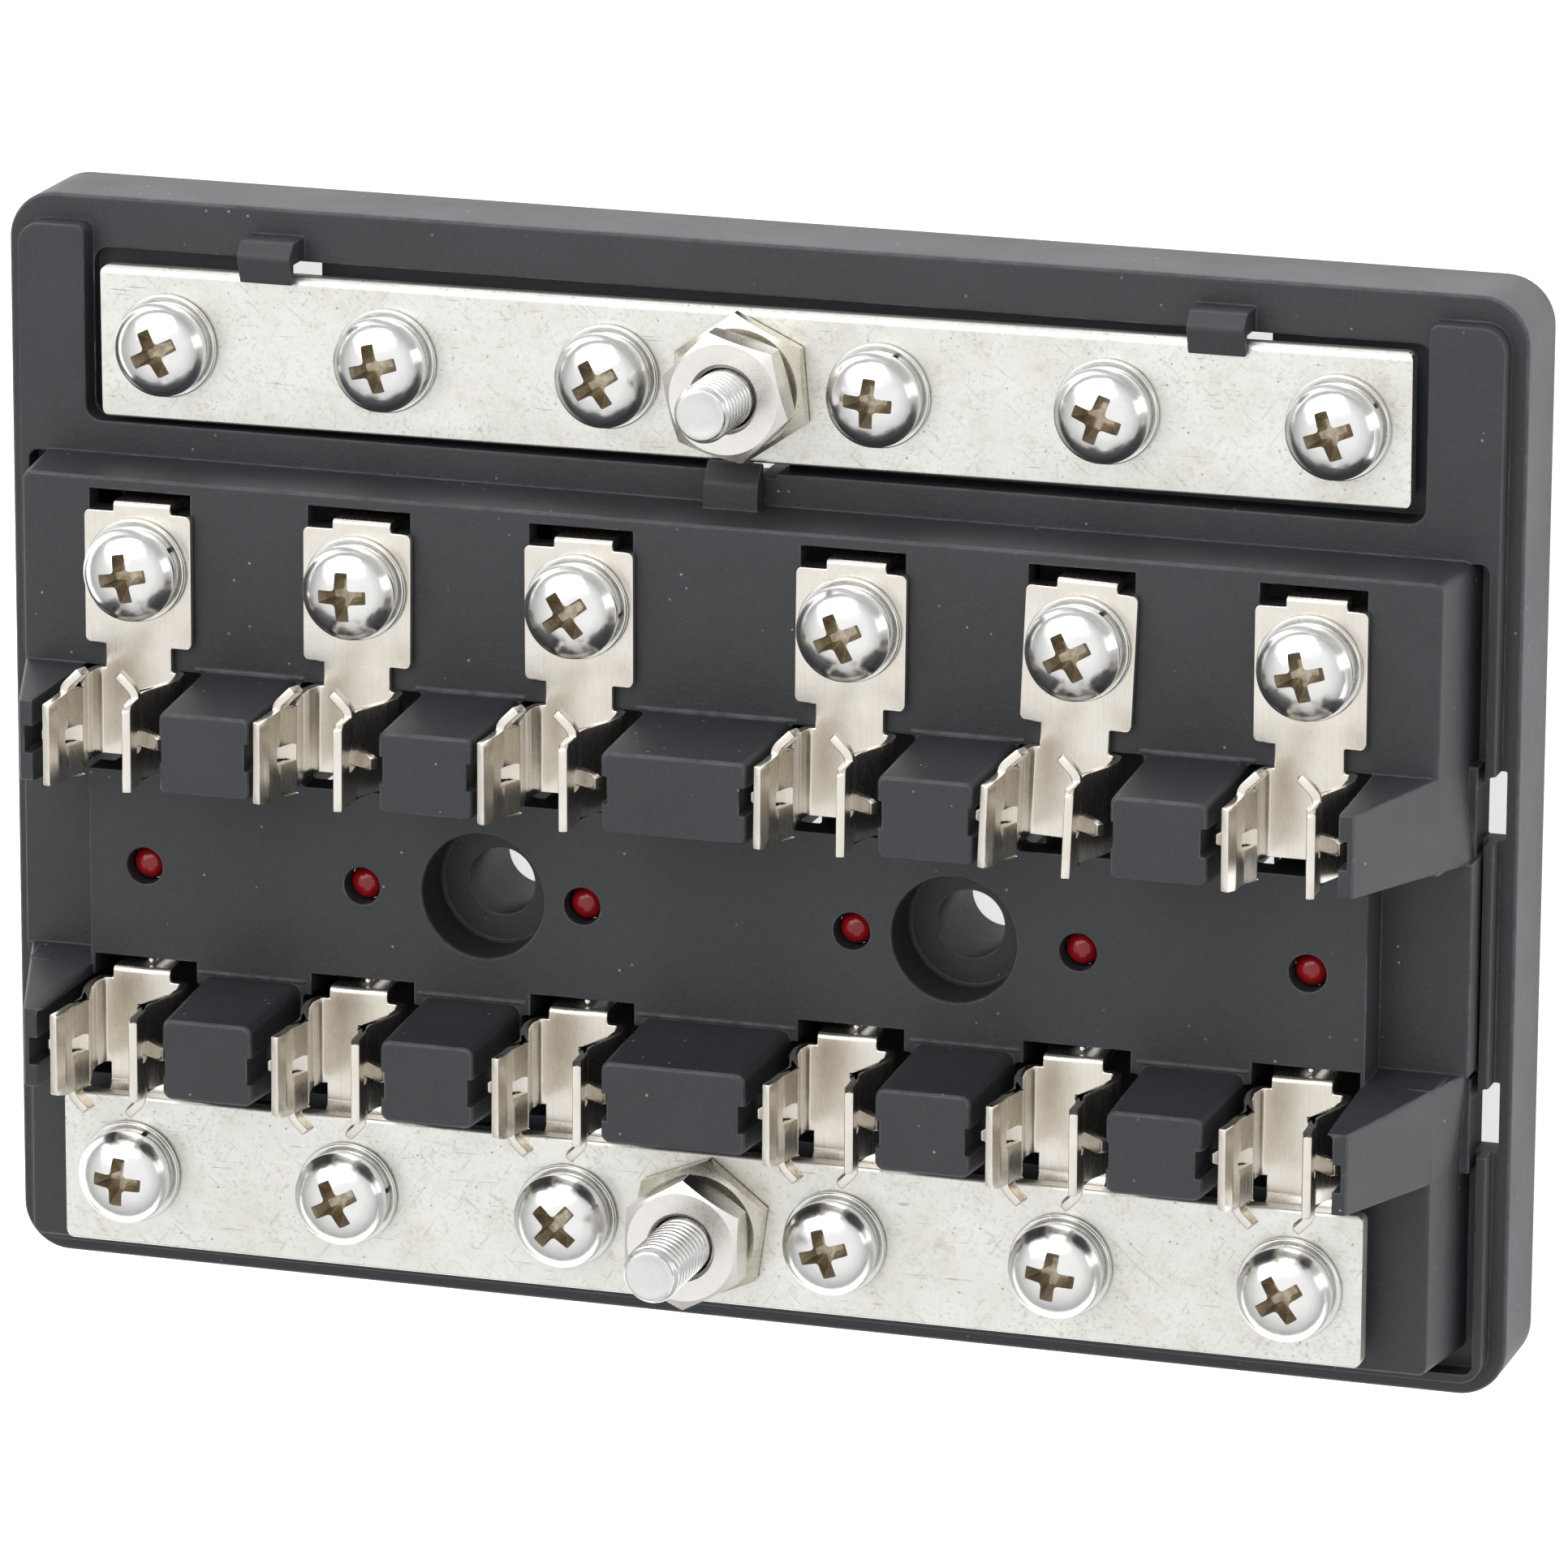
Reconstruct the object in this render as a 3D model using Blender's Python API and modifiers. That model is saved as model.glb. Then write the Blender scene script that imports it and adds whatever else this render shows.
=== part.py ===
"""Six-way glass fuse block: open-backed moulded base, two bus bars, spring fuse clips,
indicator lamps and screw terminals.

The block lies on its back. +Z comes out of its front, +X runs along the bars and
+Y points to the plain bar's side. The origin is the middle of the back's outline.
"""

import math

import bmesh
import bpy
from mathutils import Matrix

MM = 0.001

# ---------------------------------------------------------------- driving sizes, mm
LAMP_ROW_Y = -8.55                      # the lamp row lies this far from the middle
FACE_Z = 18.0                           # front of the raised platform above the back
COLUMNS = (-49.6, -30.55, -11.5, 11.5, 30.55, 49.6)

BASE_X, BASE_Y0, BASE_Y1 = 64.4, -37.1, 54.2       # outline, Y from the lamp row
BASE_R = 4.0
FLANGE_Z = 9.0
RIDGE_Z = 11.1
PLATFORM_TOP = (60.0, -32.84, 32.8)
PLATFORM_FOOT = (61.1, -33.1, 33.1)
SKIN = 2.2

BAY = (-56.9, 56.6, 35.77, 49.95)
BAY_FLOOR_Z = 7.8

BLOCK_TOP_Z = 29.4
BLOCKS = ((-44.5, -36.0, -43.9, -36.1), (-25.3, -16.9, -25.0, -17.0), (-6.32, 6.32, -6.13, 6.13),
          (16.9, 25.3, 17.0, 25.0), (36.0, 44.5, 36.2, 44.2))
WELL_HALF_X = 5.25
WELL_FLOOR_Z = 8.0

MOUNT_X = 20.1
MOUNT_BORE_R, MOUNT_SINK_R, MOUNT_SINK = 2.85, 5.25, 5.0

BAR_HALF, BAR_T = 55.5, 1.5
UPPER_BAR = (36.56, 48.9, 11.2)         # lower edge, upper edge, front height
LOWER_BAR = (-31.53, -18.72, 21.66)
UPPER_BAR_TURN = 0.0064                 # the plain bar sits very slightly turned

UPPER_ROW_Y, TERMINAL_ROW_Y, LOWER_ROW_Y = 42.95, 25.47, -25.2
SCREW_R, HEAD_R, WASHER_R = 2.05, 3.95, 4.3
STUD_R = 2.415
NUT_AF = 9.53

SHEET = 0.7                             # clip sheet thickness
PLATE_Z = FACE_Z + 0.15                 # back of a clip's plate
LOWER_RISE = 0.95                       # the bar-side clips step forward under their bar
CLIP_TIP_Z = 30.5
LEAN_UPPER = (-0.2, -1.0, -1.0, -0.6, -0.55, -0.26)
LEAN_LOWER = (0.06, 0.3, 0.22, 0.2, -0.2, -0.05)

# turn of each screw's cross, degrees, left to right
TURN_UPPER_BAR = (27.0, 15.0, 31.0, -4.0, -19.0, 20.0)
TURN_TERMINAL = (10.0, 2.0, 36.0, 24.0, 28.0, 14.0)
TURN_LOWER_BAR = (-5.0, 28.0, -42.0, 17.0, -8.0, 33.0)


# ---------------------------------------------------------------- scene and materials
for old in list(bpy.data.objects):
    bpy.data.objects.remove(old, do_unlink=True)

parts = bpy.data.collections.new("fuse_block")
cutters = bpy.data.collections.new("cutters")
bpy.context.scene.collection.children.link(parts)
bpy.context.scene.collection.children.link(cutters)


def material(name, colour, rough, metal):
    mat = bpy.data.materials.new(name)
    mat.use_nodes = True
    shader = mat.node_tree.nodes["Principled BSDF"]
    shader.inputs["Base Color"].default_value = (*colour, 1.0)
    shader.inputs["Roughness"].default_value = rough
    shader.inputs["Metallic"].default_value = metal
    return mat


PLASTIC = material("charcoal_plastic", (0.07, 0.073, 0.08), 0.55, 0.0)
NICKEL = material("nickel_bar", (0.72, 0.71, 0.68), 0.35, 1.0)
SPRING = material("clip_nickel", (0.68, 0.65, 0.59), 0.32, 1.0)
STEEL = material("screw_steel", (0.75, 0.75, 0.75), 0.18, 1.0)
NUT = material("nut_steel", (0.66, 0.64, 0.6), 0.3, 1.0)
RED = material("lamp_red", (0.3, 0.01, 0.012), 0.15, 0.0)
TAN = material("resistor_tan", (0.55, 0.42, 0.27), 0.5, 0.0)


# ---------------------------------------------------------------- modelling helpers
def add(obj, where=parts):
    where.objects.link(obj)
    return obj


def baked(obj):
    """The object's evaluated shape as a mesh of its own."""
    bpy.context.view_layer.update()
    graph = bpy.context.evaluated_depsgraph_get()
    return bpy.data.meshes.new_from_object(obj.evaluated_get(graph))


def closed(mesh, merge=1e-6):
    bm = bmesh.new()
    bm.from_mesh(mesh)
    bmesh.ops.remove_doubles(bm, verts=bm.verts, dist=merge)
    bmesh.ops.recalc_face_normals(bm, faces=bm.faces)
    bm.to_mesh(mesh)
    bm.free()
    return mesh


AXES = {
    "Z": Matrix.Identity(4),
    "Y": Matrix(((1, 0, 0, 0), (0, 0, -1, 0), (0, 1, 0, 0), (0, 0, 0, 1))),
    "X": Matrix(((0, 0, 1, 0), (1, 0, 0, 0), (0, 1, 0, 0), (0, 0, 0, 1))),
}


def outline(name, loops, low, high, axis="Z"):
    """A flat outline in mm, given thickness along an axis: (X, Y), (X, Z) or (Y, Z) points."""
    curve = bpy.data.curves.new(name, "CURVE")
    curve.dimensions = "2D"
    curve.fill_mode = "BOTH"
    curve.extrude = (high - low) / 2 * MM
    for points in loops:
        spline = curve.splines.new("POLY")
        spline.points.add(len(points) - 1)
        for point, (a, b) in zip(spline.points, points):
            point.co = (a * MM, b * MM, 0.0, 1.0)
        spline.use_cyclic_u = True
    flat = add(bpy.data.objects.new(name, curve))
    middle = (low + high) / 2 * MM * (-1 if axis == "Y" else 1)
    flat.matrix_world = AXES[axis] @ Matrix.Translation((0, 0, middle))
    mesh = baked(flat)
    mesh.transform(flat.matrix_world)
    bpy.data.objects.remove(flat, do_unlink=True)
    bpy.data.curves.remove(curve)
    obj = add(bpy.data.objects.new(name, closed(mesh)))
    return obj


def rounded(points, radii, steps=4):
    """Corner points with each corner rounded to its radius."""
    made = []
    count = len(points)
    for i, (x, y) in enumerate(points):
        r = radii[i] if isinstance(radii, (list, tuple)) else radii
        if r <= 0:
            made.append((x, y))
            continue
        ax, ay = points[i - 1][0] - x, points[i - 1][1] - y
        bx, by = points[(i + 1) % count][0] - x, points[(i + 1) % count][1] - y
        la, lb = math.hypot(ax, ay), math.hypot(bx, by)
        ax, ay, bx, by = ax / la, ay / la, bx / lb, by / lb
        half = math.acos(max(-1.0, min(1.0, ax * bx + ay * by))) / 2
        back = r / math.tan(half)
        mx, my = ax + bx, ay + by
        lm = math.hypot(mx, my)
        cx, cy = x + mx / lm * r / math.sin(half), y + my / lm * r / math.sin(half)
        start = math.atan2(y + ay * back - cy, x + ax * back - cx)
        stop = math.atan2(y + by * back - cy, x + bx * back - cx)
        sweep = (stop - start + math.pi) % (2 * math.pi) - math.pi
        for k in range(steps + 1):
            t = start + sweep * k / steps
            made.append((cx + r * math.cos(t), cy + r * math.sin(t)))
    return made


def rect(x0, x1, y0, y1, r=0.0, steps=3):
    return rounded([(x0, y0), (x1, y0), (x1, y1), (x0, y1)], r, steps)


def ring(cx, cy, r, steps=24, turn=0.0):
    return [(cx + r * math.cos(turn + 2 * math.pi * k / steps), cy + r * math.sin(turn + 2 * math.pi * k / steps))
            for k in range(steps)]


def tapered(name, foot, top, z0, z1):
    """A cube drawn in from its foot (x0, x1, y0, y1) to its top, in mm."""
    bpy.ops.mesh.primitive_cube_add(size=1.0)
    obj = bpy.context.object
    obj.name = name
    for vert in obj.data.vertices:
        x0, x1, y0, y1 = top if vert.co.z > 0 else foot
        vert.co = ((x1 if vert.co.x > 0 else x0) * MM, (y1 if vert.co.y > 0 else y0) * MM,
                   (z1 if vert.co.z > 0 else z0) * MM)
    for where in list(obj.users_collection):
        where.objects.unlink(obj)
    return add(obj)


def hull(name, points):
    """The tightest solid round some points in mm."""
    bm = bmesh.new()
    for x, y, z in points:
        bm.verts.new((x * MM, y * MM, z * MM))
    bmesh.ops.convex_hull(bm, input=bm.verts)
    mesh = bpy.data.meshes.new(name)
    bm.to_mesh(mesh)
    bm.free()
    return add(bpy.data.objects.new(name, closed(mesh)))


def box(name, x0, x1, y0, y1, z0, z1):
    return tapered(name, (x0, x1, y0, y1), (x0, x1, y0, y1), z0, z1)


def merged(name, pieces):
    """Shapes that don't touch, as one mesh."""
    bm = bmesh.new()
    for piece in pieces:
        piece.data.transform(piece.matrix_world)
        bm.from_mesh(piece.data)
        bpy.data.objects.remove(piece, do_unlink=True)
    mesh = bpy.data.meshes.new(name)
    bm.to_mesh(mesh)
    bm.free()
    return add(bpy.data.objects.new(name, mesh))


def combine(target, tool, how):
    mod = target.modifiers.new(tool.name, "BOOLEAN")
    mod.operation = how
    mod.solver = "EXACT"
    mod.object = tool
    for where in list(tool.users_collection):
        where.objects.unlink(tool)
    cutters.objects.link(tool)
    tool.hide_render = True
    tool.display_type = "WIRE"
    return target


def settle(target):
    """Applies the modifiers and clears away the tools they used."""
    mesh = baked(target)
    tools = [m.object for m in target.modifiers if m.type == "BOOLEAN"]
    target.modifiers.clear()
    target.data = mesh
    for tool in tools:
        bpy.data.objects.remove(tool, do_unlink=True)
    return target


def turned(name, profile, steps):
    """A profile of (radius, height) in mm, top to bottom, spun about Z."""
    mesh = bpy.data.meshes.new(name)
    mesh.from_pydata([(r * MM, 0.0, z * MM) for r, z in profile],
                     [(i, i + 1) for i in range(len(profile) - 1)], [])
    obj = add(bpy.data.objects.new(name, mesh))
    spin = obj.modifiers.new("spin", "SCREW")
    spin.axis = "Z"
    spin.steps = spin.render_steps = steps
    spin.use_merge_vertices = True
    spin.merge_threshold = 0.00001
    return obj


def finish(obj, mat, smooth=False):
    obj.data.materials.clear()
    obj.data.materials.append(mat)
    if smooth:
        obj.data.shade_smooth()
        obj.data.set_sharp_from_angle(angle=math.radians(35))
    return obj


def place(name, mesh, x, y, z, turn=0.0):
    obj = add(bpy.data.objects.new(name, mesh))
    obj.location = (x * MM, y * MM, z * MM)
    obj.rotation_euler = (0.0, 0.0, math.radians(turn))
    return obj


def Y(v):
    return v + LAMP_ROW_Y


# ---------------------------------------------------------------- base moulding
base = outline("base", [rect(-BASE_X, BASE_X, Y(BASE_Y0), Y(BASE_Y1), BASE_R, 5)], 0.0, FLANGE_Z)

px, py0, py1 = PLATFORM_TOP
fx, fy0, fy1 = PLATFORM_FOOT
combine(base, tapered("platform", (-fx - 0.1, fx + 0.1, Y(fy0 - 0.05), Y(fy1 + 0.05)), (-px, px, Y(py0), Y(py1)),
                      FLANGE_Z - 1.0, FACE_Z), "UNION")

# low ridge round the sides and foot, widening into the corner blocks beside the bay
rim = [(-62.9, Y(-35.5)), (62.9, Y(-35.5)), (62.9, Y(52.05)), (56.7, Y(52.05)), (56.7, Y(35.77)),
       (-57.0, Y(35.77)), (-57.0, Y(52.05)), (-62.9, Y(52.05))]
rim = rounded(rim, [2.0, 2.0, 2.0, 0.6, 1.3, 1.3, 0.6, 2.0], 3)
groove = [(-62.1, Y(-34.7)), (62.1, Y(-34.7)), (62.1, Y(32.9)), (-62.1, Y(32.9))]
combine(base, outline("ridge", [rim, groove], FLANGE_Z - 0.8, RIDGE_Z), "UNION")

# ends of the platform are carried out to the rim beside the two side pockets
combine(base, merged("ears", [box("ear", 59.0, 61.9, Y(-8.85), Y(8.95), 7.0, 13.7),
                              box("ear", -61.9, -59.0, Y(-8.85), Y(8.95), 7.0, 13.7)]), "UNION")

blocks = []
for a0, a1, b0, b1 in BLOCKS:
    blocks.append(tapered("block", (a0, a1, Y(9.1), Y(17.05)), (b0, b1, Y(9.65), Y(16.45)), FACE_Z - 0.5, BLOCK_TOP_Z))
    blocks.append(tapered("block", (a0, a1, Y(-16.9), Y(-8.9)), (b0, b1, Y(-16.3), Y(-9.45)), FACE_Z - 0.5, BLOCK_TOP_Z))
combine(base, merged("blocks", blocks), "UNION")

gussets = []
for side in (1, -1):
    for near, far, top_near, top_far in ((8.83, 16.9, 9.75, 16.55), (-8.67, -16.8, -9.55, -16.3)):
        corners = [(x, v, BLOCK_TOP_Z) for x in (55.0, 56.0) for v in (top_near, top_far)]
        corners += [(54.9, v, z) for v in (near, far) for z in (10.8, 17.6)]
        corners += [(61.45, near, 10.8), (61.45, near, 13.6), (60.4, far, 10.8), (60.5, far, 13.6), (60.03, far, 17.6)]
        gussets.append(hull("gusset", [(side * x, Y(v), z) for x, v, z in corners]))
combine(base, merged("gussets", gussets), "UNION")
combine(base, merged("feet", [box("foot", *sorted((side * 59.5, side * 61.55)), Y(v0), Y(v1), 8.0, 11.3)
                              for side in (1, -1) for v0, v1 in ((8.5, 16.3), (-17.6, -9.7))]), "UNION")

# three hooks that the plain bar snaps under
hooks = []
for x0, x1 in ((-43.1, -38.5), (37.2, 42.0)):
    hooks.append(outline("hook", [[(Y(50.1), 6.5), (Y(52.05), 6.5), (Y(51.95), 11.6), (Y(50.8), 12.6), (Y(48.5), 11.7),
                                   (Y(48.5), 11.42), (Y(50.1), 11.42)]], x0, x1, "X"))
hooks.append(outline("hook", [[(Y(32.2), 10.0), (Y(33.3), 10.0), (Y(33.6), 11.42), (Y(36.65), 11.42), (Y(36.65), 11.8),
                               (Y(35.1), 13.1), (Y(32.2), 13.2)]], -2.85, 1.8, "X"))
combine(base, merged("hooks", hooks), "UNION")

# pocket for the plain bar, with pads that carry it
combine(base, outline("bay", [rect(BAY[0], BAY[1], Y(BAY[2]), Y(BAY[3]), 1.3, 3)], BAY_FLOOR_Z, FLANGE_Z + 0.6),
        "DIFFERENCE")
pads = []
for x in COLUMNS:
    pads.append(outline("pad", [ring(x, Y(UPPER_ROW_Y), 4.4, 12), ring(x, Y(UPPER_ROW_Y), 2.8, 12)],
                        BAY_FLOOR_Z - 0.4, 9.4))
    pads.append(box("pad", x - 4.9, x + 4.9, Y(-31.4), Y(-19.6), FACE_Z - 0.4, FACE_Z + 0.8))
pads.append(outline("pad", [ring(0, Y(UPPER_ROW_Y), 5.4, 12), ring(0, Y(UPPER_ROW_Y), 3.0, 12)], BAY_FLOOR_Z - 0.4, 9.4))
combine(base, merged("pads", pads), "UNION")
combine(base, merged("ribs", [box("rib", x - 2.0, x + 2.0, Y(-31.2), Y(-19.2), FACE_Z - 0.4, FACE_Z + 1.85)
                              for x in (-40.1, -21.0, 21.0, 40.1)]
                     + [box("rib", s * 4.2 - 0.7, s * 4.2 + 0.7, Y(-31.2), Y(-19.2), FACE_Z - 0.4, FACE_Z + 1.85)
                        for s in (-1, 1)]), "UNION")

combine(base, merged("side_pockets", [tapered("pocket", (x0, x1, Y(-8.62), Y(8.72)), (x0, x1, Y(-8.88), Y(8.98)), 13.7,
                                              FACE_Z + 1.0) for x0, x1 in ((54.45, 62.6), (-62.6, -54.45))]), "DIFFERENCE")

# hollows from the back
hollows = [box("hollow", -58.2, 58.2, Y(19.4), Y(31.8), -1.0, FACE_Z - SKIN),
           box("hollow", -55.5, 55.5, Y(34.4), Y(51.3), -1.0, BAY_FLOOR_Z - SKIN),
           box("hollow", -58.2, 58.2, Y(-31.4), Y(-18.6), -1.0, FACE_Z - SKIN),
           outline("hollow", [[(-56.2, -1.0), (56.2, -1.0), (56.2, 11.2), (52.8, 11.2), (52.8, FACE_Z - SKIN),
                               (-52.8, FACE_Z - SKIN), (-52.8, 11.2), (-56.2, 11.2)]], Y(-7.3), Y(6.4), "Y")]
for a0, a1, b0, b1 in BLOCKS:
    inset = 1.9
    for v0, v1, w0, w1 in ((9.1, 17.05, 9.65, 16.45), (-16.9, -8.9, -16.3, -9.45)):
        hollows.append(tapered("core", (a0 + inset, a1 - inset, Y(v0 + inset), Y(v1 - inset)),
                               (b0 + inset, b1 - inset, Y(w0 + inset), Y(w1 - inset)), -1.0, BLOCK_TOP_Z - 2.0))
combine(base, merged("hollows", hollows), "DIFFERENCE")

# pillars inside the hollows: round the mounting holes and under the bars
pillars = [outline("pillar", [ring(s * MOUNT_X, Y(0.05), 6.5, 18)], 0.0, FACE_Z - 1.0) for s in (-1, 1)]
pillars += [box("pillar", x - 0.8, x + 0.8, Y(19.0), Y(32.0), 0.0, FACE_Z - 1.0) for x in (-21.0, 0.0, 21.0)]
pillars += [box("pillar", x - 0.8, x + 0.8, Y(-32.0), Y(-18.0), 0.0, FACE_Z - 1.0) for x in (-21.0, 21.0)]
combine(base, merged("pillars", pillars), "UNION")

# clip wells, tab slots and the notches that pass the lamp leads
wells = []
for x in COLUMNS:
    wells.append(box("well", x - WELL_HALF_X, x + WELL_HALF_X, Y(8.0), Y(16.9), WELL_FLOOR_Z, BLOCK_TOP_Z + 1.0))
    wells.append(box("well", x - WELL_HALF_X, x + WELL_HALF_X, Y(-18.2), Y(-9.7), WELL_FLOOR_Z, BLOCK_TOP_Z + 1.0))
combine(base, merged("wells", wells), "DIFFERENCE")
slots = []
for x in COLUMNS:
    slots.append(box("slot", x - 4.5, x + 4.35, Y(30.0), Y(31.8), 12.0, FACE_Z + 1.0))
    slots.append(box("slot", x - 4.5, x + 4.5, Y(-10.2), Y(-7.85), 9.0, FACE_Z + 1.0))
    slots.append(box("notch", x - 6.0, x - 3.6, Y(6.0), Y(8.3), -1.0, 15.2))
    slots.append(box("notch", x - 5.95, x + 5.95, Y(12.1), Y(14.4), 24.5, BLOCK_TOP_Z + 1.0))
    slots.append(box("notch", x - 5.95, x + 5.95, Y(-14.4), Y(-12.1), 24.5, BLOCK_TOP_Z + 1.0))
combine(base, merged("slots", slots), "DIFFERENCE")
combine(base, merged("lead_notches", [box("notch", x - 0.9, x + 0.9, Y(-8.2), Y(-7.0), -1.0, 16.6) for x in COLUMNS]),
        "DIFFERENCE")

# round holes: lamps, mounting screws, terminal and bar screws, studs
holes = []
for x in COLUMNS:
    holes.append(outline("hole", [ring(x, Y(0.0), 1.45, 12)], 10.0, FACE_Z + 1.0))
    holes.append(outline("hole", [ring(x, Y(TERMINAL_ROW_Y), 2.6, 10)], 10.0, FACE_Z + 1.0))
    holes.append(outline("hole", [ring(x, Y(LOWER_ROW_Y), 2.6, 10)], 10.0, FACE_Z + 3.0))
    holes.append(outline("hole", [ring(x, Y(UPPER_ROW_Y), 2.6, 10)], 3.0, 12.0))
holes.append(outline("hole", [ring(0, Y(UPPER_ROW_Y), 2.8, 12)], 3.0, 12.0))
holes.append(outline("hole", [ring(0, Y(LOWER_ROW_Y), 2.8, 12)], 10.0, FACE_Z + 3.0))
for s in (-1, 1):
    sink = turned("mount", [(0.0, FACE_Z + 1.0), (MOUNT_SINK_R, FACE_Z + 1.0), (MOUNT_SINK_R, FACE_Z - MOUNT_SINK),
                            (MOUNT_BORE_R, FACE_Z - MOUNT_SINK), (MOUNT_BORE_R, 3.0), (4.7, 3.0), (4.7, -1.0),
                            (0.0, -1.0)], 24)
    sink.location = (s * MOUNT_X * MM, Y(0.05) * MM, 0.0)
    settle(sink)
    bpy.context.view_layer.update()
    holes.append(sink)
combine(base, merged("holes", holes), "DIFFERENCE")

# slots through the rim for a cover's snap legs, openings under the hooks, lance notches
rim_cuts = []
for s in (-1, 1):
    for v0, v1 in ((9.8, 15.55), (-16.2, -10.4)):
        rim_cuts.append(outline("rim_slot", [[(s * 61.5, Y(v0)), (s * 63.4, Y(v0)), (s * 63.4, Y(v1)), (s * 62.6, Y(v1)),
                                              (s * 61.5, Y(v1 - 1.1))]], 6.0, RIDGE_Z + 1.0))
rim_cuts.append(box("under_hook", -43.1, -37.4, Y(48.1), Y(49.85), -1.0, BAY_FLOOR_Z + 0.9))
rim_cuts.append(box("under_hook", 37.2, 43.1, Y(48.1), Y(49.85), -1.0, BAY_FLOOR_Z + 0.9))
rim_cuts.append(box("under_hook", -2.7, 3.0, Y(33.4), Y(36.3), -1.0, 11.3))
combine(base, merged("rim_slots", rim_cuts), "DIFFERENCE")

# the rim is thin where it is slotted
combine(base, merged("rim_hollows", [box("rim_hollow", *sorted((s * 59.6, s * 63.42)), Y(v0), Y(v1), -1.0, 7.0)
                                     for s in (-1, 1) for v0, v1 in ((7.7, 15.6), (-18.3, -10.35))]), "DIFFERENCE")
settle(base)

# the moulding as seven lengths that meet in the middles of the clip wells
ends = [-BASE_X - 1.0] + [x + 0.4 for x in COLUMNS] + [BASE_X + 1.0]
for i in range(7):
    length = add(bpy.data.objects.new("base_%d" % (i + 1), base.data.copy()))
    combine(length, box("span", ends[i], ends[i + 1], Y(BASE_Y0) - 1.0, Y(BASE_Y1) + 1.0, -1.0, BLOCK_TOP_Z + 1.0),
            "INTERSECT")
    finish(settle(length), PLASTIC)
bpy.data.objects.remove(base, do_unlink=True)


# ---------------------------------------------------------------- bus bars
def bus_bar(name, low, high, front, turn):
    middle = (low + high) / 2
    half = (high - low) / 2
    bar = outline(name, [rect(-BAR_HALF, BAR_HALF, -half, half, 0.7, 2)], -BAR_T, 0.0)
    edge = bar.modifiers.new("edge", "BEVEL")
    edge.width = 0.35 * MM
    edge.segments = 1
    edge.limit_method = "ANGLE"
    edge.angle_limit = math.radians(60)
    row = (UPPER_ROW_Y if low > 0 else LOWER_ROW_Y) - middle
    drills = [outline("drill", [ring(x, row, 2.35, 12)], -BAR_T - 1.0, 1.0) for x in COLUMNS]
    drills.append(outline("drill", [ring(0.0, row, 2.75, 14)], -BAR_T - 1.0, 1.0))
    combine(bar, merged(name + "_drills", drills), "DIFFERENCE")
    settle(bar)
    bar.location = (0.0, Y(middle) * MM, front * MM)
    bar.rotation_euler = (0.0, 0.0, turn)
    return finish(bar, NICKEL)


bus_bar("upper_bus_bar", UPPER_BAR[0], UPPER_BAR[1], UPPER_BAR[2], UPPER_BAR_TURN)
bus_bar("lower_bus_bar", LOWER_BAR[0], LOWER_BAR[1], LOWER_BAR[2], 0.0012)


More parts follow.
